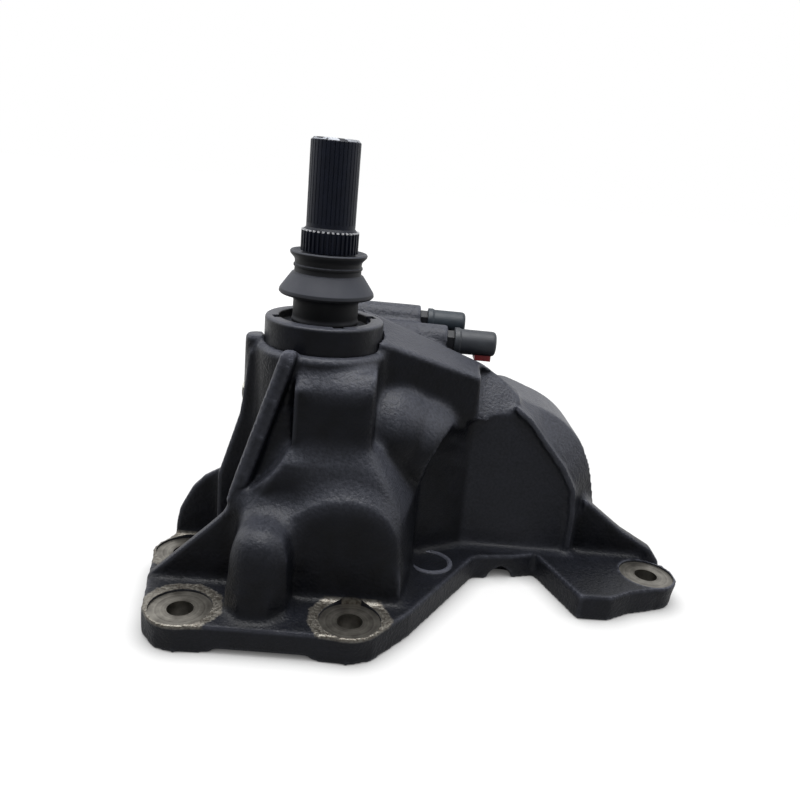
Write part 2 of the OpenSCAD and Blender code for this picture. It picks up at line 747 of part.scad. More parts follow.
module ball_nut() {
    pad = 9.5;
    color("Silver") difference() {
        translate([0, 0, piston_z]) cylinder(h = piston_len, r = piston_r);
        // Screw bore with the ball track
        translate([0, 0, piston_z + plug_t]) cylinder(h = piston_len, r = worm_r + gap);
        translate([0, 0, piston_z - 1]) cylinder(h = plug_t + 1, r = 15);
        helix(ball_low_z, ball_top_z);
        // Rack flat and tooth spaces
        translate([-40, rack_y + tooth_m, sector_z - 2.62 * pitch]) cube([80, 20, 5.24 * pitch]);
        for (k = [-2:2]) translate([0, rack_y, sector_z + k * pitch]) rack_space();
        // Milled flat and leg holes for the ball guide
        translate([-40, -pad, ball_low_z - 7]) cube([40 - 16, 2 * pad, 2 * worm_lead + 20]);
        for (z = [ball_low_z, ball_top_z]) along_x(-18, -ball_circle_r, groove_r + 0.5, 0, z);
        for (y = [-6.8, 6.8]) along_x(-17, -12.4, 1.4, y, sector_z + 20);
        // Piston ring groove
        ring_z(piston_z + 2, piston_z + 5, piston_r + 1, piston_r - 3);
    }
}

// Space between two rack teeth
module rack_space() {
    half = pitch / 4 + backlash / 2;
    out = tooth_m + 2;
    deep = 1.25 * tooth_m;
    t = tan(pressure_angle);
    wall_yz([[-deep, -(half - deep * t)], [out, -(half + out * t)], [out, half + out * t],
        [-deep, half - deep * t]], -40, 40);
}

module nut_plug() {
    color("Gray") difference() {
        translate([0, 0, piston_z + 0.5]) cylinder(h = plug_t - 0.5, r = 15 - e);
        translate([0, 0, piston_z]) cylinder(h = 4, r = 5, $fn = 6);
    }
}

module piston_ring() {
    color("Ivory") ring_z(piston_z + 2.1, piston_z + 4.9, bore_r - 0.03, piston_r - 1.4);
}

module ring_expander() {
    color("Black") ring_z(piston_z + 2.3, piston_z + 4.7, piston_r - 1.4 - e, piston_r - 2.9);
}

module screw_balls() {
    color("Gainsboro") for (i = [0:ball_count - 1]) {
        turn = 720 * (i + 0.5) / ball_count;
        rotate([0, 0, 180 + turn]) translate([ball_circle_r, 0, ball_low_z + worm_lead * turn / 360])
            sphere(d = ball_d);
    }
}

// Return tube with its two bends, outside radius r
module guide_tube(r) {
    bend = 4;
    run_x = -20.2;
    inset = 0.5;
    straight_r = r - 0.1;
    for (s = [0, 1]) {
        z = s == 0 ? ball_low_z : ball_top_z;
        along_x(run_x + bend - inset, -ball_circle_r - 3.3, straight_r, 0, z);
        translate([run_x + bend, 0, s == 0 ? z + bend : z - bend])
            rotate([90, 0, 0]) rotate([0, 0, s == 0 ? 180 : 90])
                rotate_extrude(angle = 90) translate([bend, 0]) circle(r = r);
    }
    translate([run_x, 0, ball_low_z + bend - inset])
        cylinder(h = 2 * (worm_lead - bend + inset), r = straight_r);
}

module ball_guide() {
    color("Silver") guide_tube(groove_r + 0.4);
}

module guide_clamp() {
    z = sector_z + 20;
    color("Silver") difference() {
        translate([-24.8, -9, z - 4]) cube([8.8 - e, 18, 8]);
        translate([-20.2, 0, z - 5]) cylinder(h = 10, r = groove_r + 0.4 + e);
        translate([-20.2, -groove_r - 0.4 - e, z - 5]) cube([10, 2 * (groove_r + 0.4 + e), 10]);
        for (y = [-6.8, 6.8]) along_x(-26, -12, 1.6, y, z);
    }
}

module clamp_screws() {
    color("Silver") for (y = [-6.8, 6.8]) along_x(-24.8, -12.6, 1.4 - e, y, sector_z + 20);
}

// One sector tooth, pointing along +X of the outline
module sector_tooth() {
    half = 90 / sector_teeth - backlash / (4 * sector_r) * 180 / PI;
    inv_p = tan(pressure_angle) - pressure_angle * PI / 180;
    radii = [for (i = [0:7]) max(base_r, root_r) + (tip_r - max(base_r, root_r)) * i / 7];
    side = [for (r = radii)
        let (a = acos(min(1, base_r / r)),
            w = half + (inv_p - (tan(a) - a * PI / 180)) * 180 / PI)
        [r * cos(w), r * sin(w)]];
    back = [for (i = [len(side) - 1:-1:0]) [side[i][0], -side[i][1]]];
    polygon(concat([[root_r - 3, side[0][1]]], side, back, [[root_r - 3, -side[0][1]]]));
}

module sector_plan() {
    circle(r = sector_hub_r);
    intersection() {
        circle(r = root_r);
        polygon([[0, 0], [40, -66], [60, 0], [40, 66]]);
    }
    for (k = [-2:2]) rotate(k * 360 / sector_teeth) sector_tooth();
}

module sector_shaft() {
    r = output_d / 2;
    color("Silver") translate([0, sector_y, sector_z]) difference() {
        union() {
            translate([-gear_x, 0, 0]) rotate([180, 0, 0]) rotate([90, 0, 90])
                linear_extrude(sector_w) sector_plan();
            along_x(journal_end_x, -gear_x + e, left_journal_r);
            along_x(gear_x - e, boss_end_x + 2, right_journal_r);
            along_x(boss_end_x + 2 - e, stud_x, r);
            along_x(stud_x - e, stud_x + stud_len - 1.5, stud_r);
            translate([stud_x + stud_len - 1.5, 0, 0]) rotate([0, 90, 0])
                cylinder(h = 1.5, r1 = stud_r, r2 = stud_r - 1.5);
        }
        // Pocket for the adjuster head
        along_x(journal_end_x - 1, journal_end_x + 5, 7.6);
        // Output serrations
        for (i = [0:serrations - 1]) rotate([360 * i / serrations + serration_phase, 0, 0])
            translate([spline_x, r, 0]) rotate([45, 0, 0]) translate([0, -0.3, -0.3])
                cube([output_len + 1, 0.6, 0.6]);
    }
}

housing();
top_cover();
cover_o_ring();
bearing_plate();
lower_race();
lower_rollers();
upper_rollers();
upper_race();
input_bearing();
input_seal();
snap_ring();
side_cover();
side_gasket();
side_bolts();
cover_bush();
adjuster_screw();
adjuster_nut();
output_bearing();
output_seal();
output_dust_seal();
pressure_fitting();
return_fitting();
pressure_cap();
return_cap();
return_cap_tab();
worm_shaft();
valve_sleeve();
sleeve_rings();
torsion_bar();
worm_pin();
input_shaft();
torsion_pin();
dust_boot();
ball_nut();
nut_plug();
piston_ring();
ring_expander();
screw_balls();
ball_guide();
guide_clamp();
clamp_screws();
sector_shaft();
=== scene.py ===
"""Looks of the steering gearbox: cast skin, finishes, studio light and camera."""
import logging
import math
from dataclasses import dataclass
from enum import Enum, IntEnum
from functools import reduce
from typing import Any, Sequence

import bpy
import numpy as np
from mathutils import Matrix, Vector


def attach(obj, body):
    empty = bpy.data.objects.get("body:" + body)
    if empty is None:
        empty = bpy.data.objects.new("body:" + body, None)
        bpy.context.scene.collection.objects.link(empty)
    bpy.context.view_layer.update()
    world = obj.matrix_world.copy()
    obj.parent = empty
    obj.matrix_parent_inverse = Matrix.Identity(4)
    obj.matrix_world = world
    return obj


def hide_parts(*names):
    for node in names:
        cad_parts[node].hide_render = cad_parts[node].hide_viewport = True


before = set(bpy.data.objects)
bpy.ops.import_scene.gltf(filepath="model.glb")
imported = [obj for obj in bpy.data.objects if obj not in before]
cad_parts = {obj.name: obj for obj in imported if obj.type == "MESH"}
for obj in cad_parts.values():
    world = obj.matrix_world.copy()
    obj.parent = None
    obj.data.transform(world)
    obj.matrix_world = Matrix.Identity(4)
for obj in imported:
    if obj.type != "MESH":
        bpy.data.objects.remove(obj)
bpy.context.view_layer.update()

MM = 0.001
LOG = logging.getLogger("gearbox")

Array = np.ndarray
Pair = tuple[float, float]
Point = tuple[float, float, float]
Box = tuple[Point, Point]
Mesh = bpy.types.Mesh
Material = bpy.types.Material
Piece = bpy.types.Object
Socket = bpy.types.NodeSocket

# Point attributes: one on outer edges, lighter there as thin paint and a painted highlight, or on faces that look up,
# lighter there as a dusting and painted top light, zero elsewhere
EDGE_NAME = "outer_edge"
DUST_AND_TOP_LIGHT_NAME = "upward_face"


class Axis(Enum):
    """Direction that a turned shape stands along."""

    X = 0
    Z = 2


class Body(str, Enum):
    """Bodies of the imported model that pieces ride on."""

    CASE = "gear_case"
    INPUT = "steering_input"
    SECTOR = "output_sector"


class Zone(IntEnum):
    """Finishes of the casting, in the order of its material slots."""

    CAST = 0
    MILLED = 1
    BORED = 2
    # unworn paint on the seats' walls, dark as a painted shadow ring
    PLAIN = 3


def span(node: str) -> tuple[Array, Array]:
    """Measures a solid of the frame.

    Args:
        node: Name of the solid.

    Returns:
        Its low and its high corner in millimetres.
    """
    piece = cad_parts[node]
    corners = np.array([piece.matrix_world @ Vector(corner) for corner in piece.bound_box]) / MM
    return corners.min(axis=0), corners.max(axis=0)


# Feet of the casting, its sector axis and its bores, in millimetres
FEET = np.array([[-56.0, -70.0], [27.0, -70.0], [-68.0, -15.0], [197.0, 0.0]])
FLANGE_T = 15.0
SEAT_DEPTH = 1.2
SEAT_R = 15.5
HOLE_R = 6.5
SECTOR_Y = 53.0
SECTOR_Z = 60.0
SECTOR_AXIS = (0.0, SECTOR_Y, SECTOR_Z)
BOLT_CIRCLE_R = 41.45
COLLAR_R = 31.0
BORE_R = 28.0
BORE_FLOOR = 7.0
CHAMBER_R = 35.45
CHAMBER_END_X = 17.4
JOURNAL_R = 19.0
JOURNAL_END_X = 47.0
SEAL_R = 21.0
SEAL_END_X = 59.0
PORT_R = 4.5
PORT_START_X = 19.4
BOLT_HOLE_R = 3.4
BOLT_HOLE_DEPTH = 7.0

# How far a tool passes a face, how far a plug passes a bore's end, and the room round a cover
PAST = 1.0
PLUG_PAST = 3.0
ROOM = 0.4

# Heights and stations that follow the solids of the frame
SKIRT_Z = float(span("top_cover")[0][2])
HUB_TOP = float(span("top_cover")[1][2])
COLLAR_TOP = HUB_TOP - 15.0
TOWER_H = COLLAR_TOP - 14.0
BOOT_TOP = float(span("dust_boot")[1][2])
SHAFT_TOP = float(span("input_shaft")[1][2])
SPLINE_TOP = BOOT_TOP + 10.8
COVER_SEAT_X = float(span("side_gasket")[1][0])
COVER_R = (span("side_gasket")[1][1] - span("side_gasket")[0][1]) / 2.0
BORE_TOP = float(span("bearing_plate")[0][2])
PRESSURE = span("pressure_cap")
RETURN = span("return_cap")
CAP_GAP = 4.2


def linear(code: str) -> tuple[float, float, float, float]:
    """Turns an sRGB hex colour into the linear colour that shaders take.

    Args:
        code: Six hex digits after a hash sign.

    Returns:
        Red, green, blue and an alpha of one.
    """
    values = np.array([int(code[i:i + 2], 16) for i in (1, 3, 5)]) / 255.0
    curve = np.where(values <= 0.04045, values / 12.92, ((values + 0.055) / 1.055) ** 2.4)
    return (float(curve[0]), float(curve[1]), float(curve[2]), 1.0)


WHITE = linear("#ffffff")


@dataclass
class Graph:
    """Nodes of a material or of the world, with short calls for those that come again."""

    owner: Material | bpy.types.World
    coordinates: str = "Object"

    def __post_init__(self) -> None:
        """Empties the owner's node tree and adds its coordinates."""
        self.owner.use_nodes = True
        self.tree = self.owner.node_tree
        self.tree.nodes.clear()
        self.spot = self.add("TexCoord").outputs[self.coordinates]

    def add(self, kind: str, links: dict[Any, Any] | None = None, **settings: Any) -> bpy.types.Node:
        """Adds one shader node with its settings and links.

        Args:
            kind: Node type without the ShaderNode prefix.
            links: Input name or index to a constant value or to another node's output socket.
            settings: Attributes set on the node itself.

        Returns:
            The new node.
        """
        node = self.tree.nodes.new("ShaderNode" + kind)
        for name, value in settings.items():
            setattr(node, name, value)
        for key, value in (links or {}).items():
            if isinstance(value, Socket):
                self.tree.links.new(value, node.inputs[key])
            else:
                node.inputs[key].default_value = value
        return node

    def math(self, operation: str, *values: Any) -> Socket:
        """Adds one step of arithmetic on sockets and numbers."""
        return self.add("Math", dict(enumerate(values)), operation=operation).outputs[0]

    def fold(self, operation: str, *values: Any) -> Socket:
        """Takes any number of sockets and numbers together by one operation."""
        return reduce(lambda first, second: self.math(operation, first, second), values)

    def above(self, value: Socket, limit_mm: float) -> Socket:
        """Tells with a one where a length is above a limit."""
        return self.math("GREATER_THAN", value, limit_mm * MM)

    def fade(self, value: Socket, start: float, end: float, low: float = 0.0, high: float = 1.0) -> Socket:
        """Carries a value's range from start to end over to the range from low to high."""
        return self.add("MapRange", {"Value": value, "From Min": start, "From Max": end,
                                     "To Min": low, "To Max": high}).outputs[0]

    def noise(self, size_mm: float, detail: float, roughness: float = 0.5, spot: Socket | None = None) -> Socket:
        """Adds noise whose features measure this many millimetres, at the coordinates or another place."""
        links = {"Scale": 1.0 / (size_mm * MM), "Detail": detail, "Roughness": roughness}
        return self.add("TexNoise", links | {"Vector": self.spot if spot is None else spot}).outputs["Fac"]

    def mix(self, factor: Socket, first: Any, second: Any) -> Socket:
        """Blends two colours, each a hex code or a socket."""
        ends = [linear(end) if isinstance(end, str) else end for end in (first, second)]
        return self.add("Mix", {"Factor": factor, 6: ends[0], 7: ends[1]}, data_type="RGBA").outputs[2]

    def bump(self, height: Socket, strength: float, depth_mm: float) -> Socket:
        """Adds relief of a depth in millimetres."""
        return self.add("Bump", {"Height": height, "Strength": strength, "Distance": depth_mm * MM}).outputs[0]

    def attribute(self, name: str) -> Socket:
        """Reads a point attribute."""
        return self.add("Attribute", attribute_name=name).outputs["Fac"]

    def part(self, letter: str) -> Socket:
        """Takes one of the coordinates."""
        return self.add("SeparateXYZ", {0: self.spot}).outputs[letter]

    def reach(self, x: float = 0.0, y: float = 0.0) -> Socket:
        """Adds the level distance, in metres, from an upright axis that is placed in millimetres."""
        flat = self.add("VectorMath", {0: self.spot, 1: (1.0, 1.0, 0.0)}, operation="MULTIPLY").outputs[0]
        return self.add("VectorMath", {0: flat, 1: (x * MM, y * MM, 0.0)}, operation="DISTANCE").outputs["Value"]

    def nearest_foot(self, feet: Array) -> Socket:
        """Adds the level distance, in metres, from the nearest bolt hole of some feet."""
        return self.fold("MINIMUM", *(self.reach(x, y) for x, y in feet))


@dataclass(frozen=True)
class Finish:
    """A finish, which says what the inputs of one Principled shader get."""

    name: str

    def build(self) -> Material:
        """Builds the material.

        Returns:
            The finished material.
        """
        material = bpy.data.materials.new(self.name)
        graph = Graph(material)
        shader = graph.add("BsdfPrincipled", self.inputs(graph))
        graph.add("OutputMaterial", {"Surface": shader.outputs[0]})
        return material

    def inputs(self, graph: Graph) -> dict[str, Any]:
        """Works out the shader's inputs.

        Args:
            graph: Nodes of the material.

        Returns:
            A constant or a socket for each input that is set.
        """
        raise NotImplementedError


@dataclass(frozen=True)
class CastPaint(Finish):
    """Black chassis paint over sand cast iron: satin, with the pebbled mould skin showing through.

    It is lighter where it looks up, as a dusting and as painted top light, lighter on outer edges, as thin paint and
    as a painted highlight, and worn to bare iron at the bolt seats.
    """

    name: str = "satin_black_paint_on_cast_iron"
    dark: str = "#080a0f"
    light: str = "#101219"
    # light colour of outer edges: thin paint and a painted highlight
    edge: str = "#4c4e57"
    # colour of upward faces: a dusting and painted top light
    dust_and_top_light: str = "#44464e"
    bare: str = "#86837c"
    rust: str = "#625d56"
    gloss: Pair = (0.34, 0.48)
    speck: Pair = (0.62, 1.0)
    pebble_mm: float = 1.6
    relief_mm: float = 0.42
    swell_mm: float = 11.0
    worn_mm: float = 23.7
    ragged_mm: float = 7.0
    flake_mm: float = 6.0
    bare_metal: float = 0.85
    ior: float = 1.31
    worn: bool = True

    def inputs(self, graph: Graph) -> dict[str, Any]:
        """Lays a dusting with painted top light, light edges of thin paint and painted highlight, and bare iron over
        the paint in turn.

        Args:
            graph: Nodes of the material.

        Returns:
            A constant or a socket for each input that is set.
        """
        swell = graph.noise(self.swell_mm, 3.0)
        pebble = graph.noise(self.pebble_mm, 2.0, 0.55)
        grain = graph.fade(pebble, 0.35, 0.65)
        # upward faces grow lighter: a dusting and painted top light
        dust_and_light = graph.fold("MULTIPLY", graph.attribute(DUST_AND_TOP_LIGHT_NAME), graph.fade(grain, 0.0, 1.0, *self.speck))
        colour = graph.mix(graph.fade(swell, 0.35, 0.68), self.dark, self.light)
        colour = graph.mix(dust_and_light, colour, self.dust_and_top_light)
        # outer edges lighter: thin paint and a painted highlight
        colour = graph.mix(graph.attribute(EDGE_NAME), colour, self.edge)
        metal = 0.0
        if self.worn:
            wear = self.wear(graph)
            colour = graph.mix(wear, colour, graph.mix(grain, self.rust, self.bare))
            metal = graph.fold("MULTIPLY", wear, self.bare_metal)
        return {"Base Color": colour, "Metallic": metal, "IOR": self.ior,
                "Roughness": graph.fade(pebble, 0.3, 0.7, *self.gloss),
                "Normal": graph.bump(graph.math("ADD", pebble, swell), 1.0, self.relief_mm)}

    def wear(self, graph: Graph) -> Socket:
        """Adds the mask of bare iron: the distance from the tower's feet, broken up by noise, on their tops.

        Args:
            graph: Nodes of the paint.

        Returns:
            Socket that is one on bare iron and zero on paint.
        """
        flakes = graph.noise(self.flake_mm, 4.0, 0.6)
        ragged = graph.math("MULTIPLY_ADD", flakes, self.ragged_mm * MM, graph.nearest_foot(FEET[:3]))
        near = graph.fade(ragged, (self.worn_mm - 0.6) * MM, (self.worn_mm + 0.9) * MM, 1.0, 0.0)
        height = graph.part("Z")
        over = graph.fade(height, (FLANGE_T - 2.2) * MM, (FLANGE_T - 0.9) * MM)
        under = graph.fade(height, (FLANGE_T + 1.0) * MM, (FLANGE_T + 3.0) * MM, 1.0, 0.0)
        return graph.fold("MULTIPLY", near, over, under)


@dataclass(frozen=True)
class BlackedShaft(Finish):
    """Phosphated steel shaft: blue black, with bare ends where tools took the finish off, painted near white as
    glints.

    Painted glints lie on the bare bands at the spline's upper end and on the rim of the shaft's end.
    """

    name: str = "phosphated_shaft_with_bright_ends"
    dark: str = "#0a0d16"
    light: str = "#161b29"
    # near-white colours of the bare bands: painted glints
    bare_glint: str = "#d9dade"
    scuffed_glint: str = "#8d9096"
    cloud_mm: float = 6.0
    tooth_mm: float = 13.75
    band_mm: float = 0.75
    rim_mm: float = 9.6
    end_mm: float = 1.1
    patch_mm: float = 3.0
    patch_from: float = 0.46
    bare_metal: float = 0.4

    def inputs(self, graph: Graph) -> dict[str, Any]:
        """Masks the bare bands, which carry the painted glints, by height and distance from the axis.

        Args:
            graph: Nodes of the material.

        Returns:
            A constant or a socket for each input that is set.
        """
        height, reach = graph.part("Z"), graph.reach()
        tone = graph.mix(graph.noise(self.cloud_mm, 3.0), self.dark, self.light)
        level = graph.math("COMPARE", height, SPLINE_TOP * MM, self.band_mm * MM)
        ring = graph.fold("MULTIPLY", level, graph.above(reach, self.tooth_mm))
        patch = graph.math("GREATER_THAN", graph.noise(self.patch_mm, 1.0), self.patch_from)
        end = graph.above(height, SHAFT_TOP - self.end_mm)
        knocked_glint = graph.fold("MULTIPLY", end, graph.above(reach, self.rim_mm), patch)
        # bare bands at the spline top and end rim, painted near white as glints
        bare = graph.math("MAXIMUM", ring, knocked_glint)
        metal = graph.mix(knocked_glint, self.bare_glint, self.scuffed_glint)
        return {"Base Color": graph.mix(bare, tone, metal), "Metallic": graph.fold("MULTIPLY", bare, self.bare_metal),
                "Roughness": 0.46, "IOR": 1.3}


@dataclass(frozen=True)
class TurnedMetal(Finish):
    """Turned or ground metal: grime clouds it, and fine tool marks break the highlight."""

    colour: str
    shade: str
    roughness: float = 0.34
    metallic: float = 1.0
    mark_mm: float = 0.6
    grime_mm: float = 7.0
    relief: float = 0.12
    relief_mm: float = 0.08

    def inputs(self, graph: Graph) -> dict[str, Any]:
        """Puts grime into the colour and tool marks into gloss and relief.

        Args:
            graph: Nodes of the material.

        Returns:
            A constant or a socket for each input that is set.
        """
        grime = graph.noise(self.grime_mm, 4.0)
        marks = graph.noise(self.mark_mm, 1.0)
        return {"Base Color": graph.mix(graph.fade(grime, 0.34, 0.66), self.shade, self.colour),
                "Roughness": graph.fade(marks, 0.3, 0.7, self.roughness - 0.07, self.roughness + 0.09),
                "Metallic": self.metallic, "Normal": graph.bump(marks, self.relief, self.relief_mm)}


@dataclass(frozen=True)
class MilledSeat(Finish):
    """Bare iron under a bolt head: spot faced, with rings of tool marks round the hole."""

    name: str = "spot_faced_cast_iron"
    colour: str = "#8b8881"
    shade: str = "#5f5c57"
    ring_mm: float = 1.1
    grime_mm: float = 5.0
    relief: float = 0.4
    relief_mm: float = 0.12

    def inputs(self, graph: Graph) -> dict[str, Any]:
        """Lets the marks follow the distance from the nearest hole.

        Args:
            graph: Nodes of the material.

        Returns:
            A constant or a socket for each input that is set.
        """
        line = graph.add("CombineXYZ", {0: graph.nearest_foot(FEET)}).outputs[0]
        rings = graph.noise(self.ring_mm, 3.0, spot=line)
        both = graph.math("ADD", rings, graph.noise(self.grime_mm, 4.0))
        return {"Base Color": graph.mix(graph.fade(both, 0.75, 1.25), self.shade, self.colour),
                "Metallic": 1.0, "Roughness": 0.42, "Normal": graph.bump(rings, self.relief, self.relief_mm)}


@dataclass(frozen=True)
class Moulded(Finish):
    """Moulded rubber or plastic: no metal, a soft broad sheen and a slightly uneven skin."""

    colour: str
    shade: str
    roughness: float = 0.6
    grain_mm: float = 0.9
    cloud_mm: float = 6.0
    relief: float = 0.2
    relief_mm: float = 0.12
    ior: float = 1.5
    # colour of upward faces where set: a dusting and painted top light
    dust_and_top_light: str = ""

    def inputs(self, graph: Graph) -> dict[str, Any]:
        """Clouds colour and gloss, and lays a dusting with painted top light on upward faces where the finish has it.

        Args:
            graph: Nodes of the material.

        Returns:
            A constant or a socket for each input that is set.
        """
        cloud = graph.noise(self.cloud_mm, 3.0)
        colour = graph.mix(cloud, self.shade, self.colour)
        if self.dust_and_top_light:
            colour = graph.mix(graph.attribute(DUST_AND_TOP_LIGHT_NAME), colour, self.dust_and_top_light)
        grain = graph.noise(self.grain_mm, 2.0)
        return {"Base Color": colour, "IOR": self.ior, "Normal": graph.bump(grain, self.relief, self.relief_mm),
                "Roughness": graph.fade(cloud, 0.3, 0.7, self.roughness - 0.06, self.roughness + 0.06)}


class Look(Enum):
    """All finishes of the gearbox."""

    CAST = CastPaint()
    PAD = MilledSeat()
    BORED = TurnedMetal("oiled_bored_iron", "#6c6a66", "#4b4a48", roughness=0.3)
    STEEL = TurnedMetal("ground_steel", "#b4b3b0", "#93928f", roughness=0.26)
    BLACK_STEEL = TurnedMetal("phosphated_black_steel", "#1b1d22", "#121419", roughness=0.42, metallic=0.2)
    SHAFT = BlackedShaft()
    PLAIN_PAINT = CastPaint(name="satin_black_paint_on_turned_iron", relief_mm=0.16, worn=False)
    ZINC = TurnedMetal("zinc_plated_steel", "#a9a8a0", "#85847d", roughness=0.36)
    BRONZE = TurnedMetal("sintered_bronze", "#a9793f", "#805a2e", roughness=0.42)
    # the boot's upward faces lighter: a dusting and painted top light
    RUBBER = Moulded("moulded_nitrile_rubber", "#17181b", "#101114", roughness=0.55, ior=1.32, dust_and_top_light="#3b3d44")
    FIBRE = Moulded("pressed_fibre_gasket", "#8d8467", "#6b6450", roughness=0.8)
    PTFE = Moulded("filled_sealing_plastic", "#cfc9b8", "#b5af9e", roughness=0.45)
    BLUE = Moulded("moulded_blue_polythene", "#202b35", "#151d24", roughness=0.5)
    GREY = Moulded("moulded_grey_polythene", "#33373d", "#24272d", roughness=0.5)
    RED = Moulded("moulded_red_rubber", "#8e2329", "#5d171c", roughness=0.5)


Finishes = dict[Look, Material]


def step(value: Array, start: float, full: float) -> Array:
    """Weighs values: zero up to start, one from full on, and straight between them."""
    return np.clip((value - start) / (full - start), 0.0, 1.0)


def dot(first: Array, second: Array) -> Array:
    """Multiplies the vectors in the rows of two arrays."""
    return np.einsum("ij,ij->i", first, second)


def depth_in(points: Array, box: Box) -> Array:
    """Measures how deep points lie inside a box, with a minus sign outside it."""
    low, high = (np.array(corner) for corner in box)
    return np.minimum(points - low, high - points).min(axis=1)


def read(items: Any, name: str, width: int = 3, kind: type = np.float32) -> Array:
    """Reads one property of every item of a mesh.

    Args:
        items: Points, edges, faces or normals of the mesh.
        name: Name of the property.
        width: Numbers for each item.
        kind: Type of the numbers.

    Returns:
        One row an item.
    """
    values = np.empty(len(items) * width, dtype=kind)
    items.foreach_get(name, values)
    return values.reshape(-1, width)


def arrays(mesh: Mesh) -> tuple[Array, Array]:
    """Reads a mesh as whole arrays.

    Args:
        mesh: Mesh in metres.

    Returns:
        Points in millimetres and the corner indices of the triangles.
    """
    mesh.calc_loop_triangles()
    return read(mesh.vertices, "co").astype(float) / MM, read(mesh.loop_triangles, "vertices", kind=np.int32)


def mesh_from(name: str, points: Array, faces: Array) -> Mesh:
    """Puts whole arrays of points and faces into a mesh.

    Args:
        name: Mesh name.
        points: Points in millimetres, one row each.
        faces: Corner indices, one face a row.

    Returns:
        The mesh in metres.
    """
    mesh = bpy.data.meshes.new(name)
    count, sides = faces.shape
    mesh.vertices.add(len(points))
    mesh.vertices.foreach_set("co", (points * MM).astype(np.float32).ravel())
    mesh.loops.add(count * sides)
    mesh.loops.foreach_set("vertex_index", faces.astype(np.int32).ravel())
    mesh.polygons.add(count)
    mesh.polygons.foreach_set("loop_start", np.arange(0, count * sides, sides, dtype=np.int32))
    mesh.polygons.foreach_set("use_smooth", np.ones(count, dtype=bool))
    mesh.update(calc_edges=True)
    mesh.validate()
    return mesh


def shown(name: str, data: Any) -> Piece:
    """Links a mesh, lamp or camera into the scene as an object at the origin.

    Args:
        name: Object name.
        data: Mesh, lamp or camera.

    Returns:
        The new object.
    """
    piece = bpy.data.objects.new(name, data)
    bpy.context.scene.collection.objects.link(piece)
    return piece


def place(mesh: Mesh, material: Material, sharp: float = 35.0) -> Piece:
    """Makes a piece of a mesh, under the mesh's name.

    Args:
        mesh: Mesh in its place.
        material: Finish of the piece.
        sharp: Edges with a wider angle than this, in degrees, are shaded as edges.

    Returns:
        The new object.
    """
    mesh.set_sharp_from_angle(angle=math.radians(sharp))
    mesh.materials.append(material)
    return shown(mesh.name, mesh)


def rounded(corners: Sequence[Point], steps: int = 5) -> Array:
    """Rounds the corners of a closed outline with arcs.

    Each corner holds its radius. The arc is a quadratic curve between the two points that lie
    the radius away from the corner along its sides, or nearly half the side where that is less.

    Args:
        corners: Distance, height and corner radius of each corner.
        steps: Points on each arc.

    Returns:
        Points of the rounded outline.
    """
    share, same = 0.48, 1e-4
    data = np.array(corners, dtype=float)
    here, radius = data[:, :2], data[:, 2:3]
    ends = []
    for way in (1, -1):
        side = np.roll(here, way, axis=0) - here
        length = np.linalg.norm(side, axis=1, keepdims=True)
        ends.append((here + side / length * np.minimum(radius, share * length))[:, None])
    t = np.linspace(0.0, 1.0, steps)[None, :, None]
    arcs = (1 - t) ** 2 * ends[0] + 2 * t * (1 - t) * here[:, None] + t ** 2 * ends[1]
    flat = arcs.reshape(-1, 2)
    return flat[np.linalg.norm(flat - np.roll(flat, 1, axis=0), axis=1) > same]


def swept(name: str, r: Array, h: Array, axis: Axis, centre: Sequence[float]) -> Mesh:
    """Carries an outline round an axis, where it may change with the angle.

    The point at angle a and place j on the outline lies the distance r(a, j) from the axis and the height
    h(a, j) along it. The outline closes on itself, and points on the axis are joined into one.

    Args:
        name: Mesh name.
        r: Distances, one row an angle.
        h: Heights, one row an angle.
        axis: Direction of the axis.
        centre: Point on the axis where the height is zero, in millimetres.

    Returns:
        The closed mesh.
    """
    around, count = r.shape
    angle = np.linspace(0.0, 2.0 * np.pi, around, endpoint=False)[:, None]
    side, front = r * np.cos(angle), r * np.sin(angle)
    stack = (side, front, h) if axis is Axis.Z else (h, side, front)
    points = np.stack(stack, -1).reshape(-1, 3) + np.array(centre)
    index = np.arange(around * count).reshape(around, count)
    on_axis = r.max(axis=0) < 1e-6
    index[:, on_axis] = index[0, on_axis]
    after = np.roll(index, -1, axis=0)
    quads = np.stack([index, np.roll(index, -1, axis=1), np.roll(after, -1, axis=1), after], -1).reshape(-1, 4)
    tris = np.concatenate([quads[:, [0, 1, 2]], quads[:, [0, 2, 3]]])
    whole = (tris != np.roll(tris, 1, axis=1)).all(axis=1)
    used, corners = np.unique(tris[whole], return_inverse=True)
    return outward(mesh_from(name, points[used], corners.reshape(-1, 3)))


def turned(name: str, outline: Array, axis: Axis, centre: Sequence[float], around: int = 96) -> Mesh:
    """Carries a closed outline unchanged round an axis, as a lathe does.

    Args:
        name: Mesh name.
        outline: Distance from the axis and height along it of each point.
        axis: Direction of the axis.
        centre: Point on the axis where the height is zero, in millimetres.
        around: Steps round the axis.

    Returns:
        The closed mesh.
    """
    r, h = (np.broadcast_to(column, (around, len(outline))) for column in outline.T)
    return swept(name, r, h, axis, centre)


def note(mesh: Mesh, name: str, value: Array) -> None:
    """Writes one number for each point of a mesh as a point attribute."""
    mesh.attributes.new(name, "FLOAT", "POINT").data.foreach_set("value", value.astype(np.float32))


def upward(mesh: Mesh, start: float, full: float) -> Array:
    """Weighs how far each point of a mesh faces up, by the upward part of its normal."""
    return step(read(mesh.vertex_normals, "vector")[:, 2], start, full)


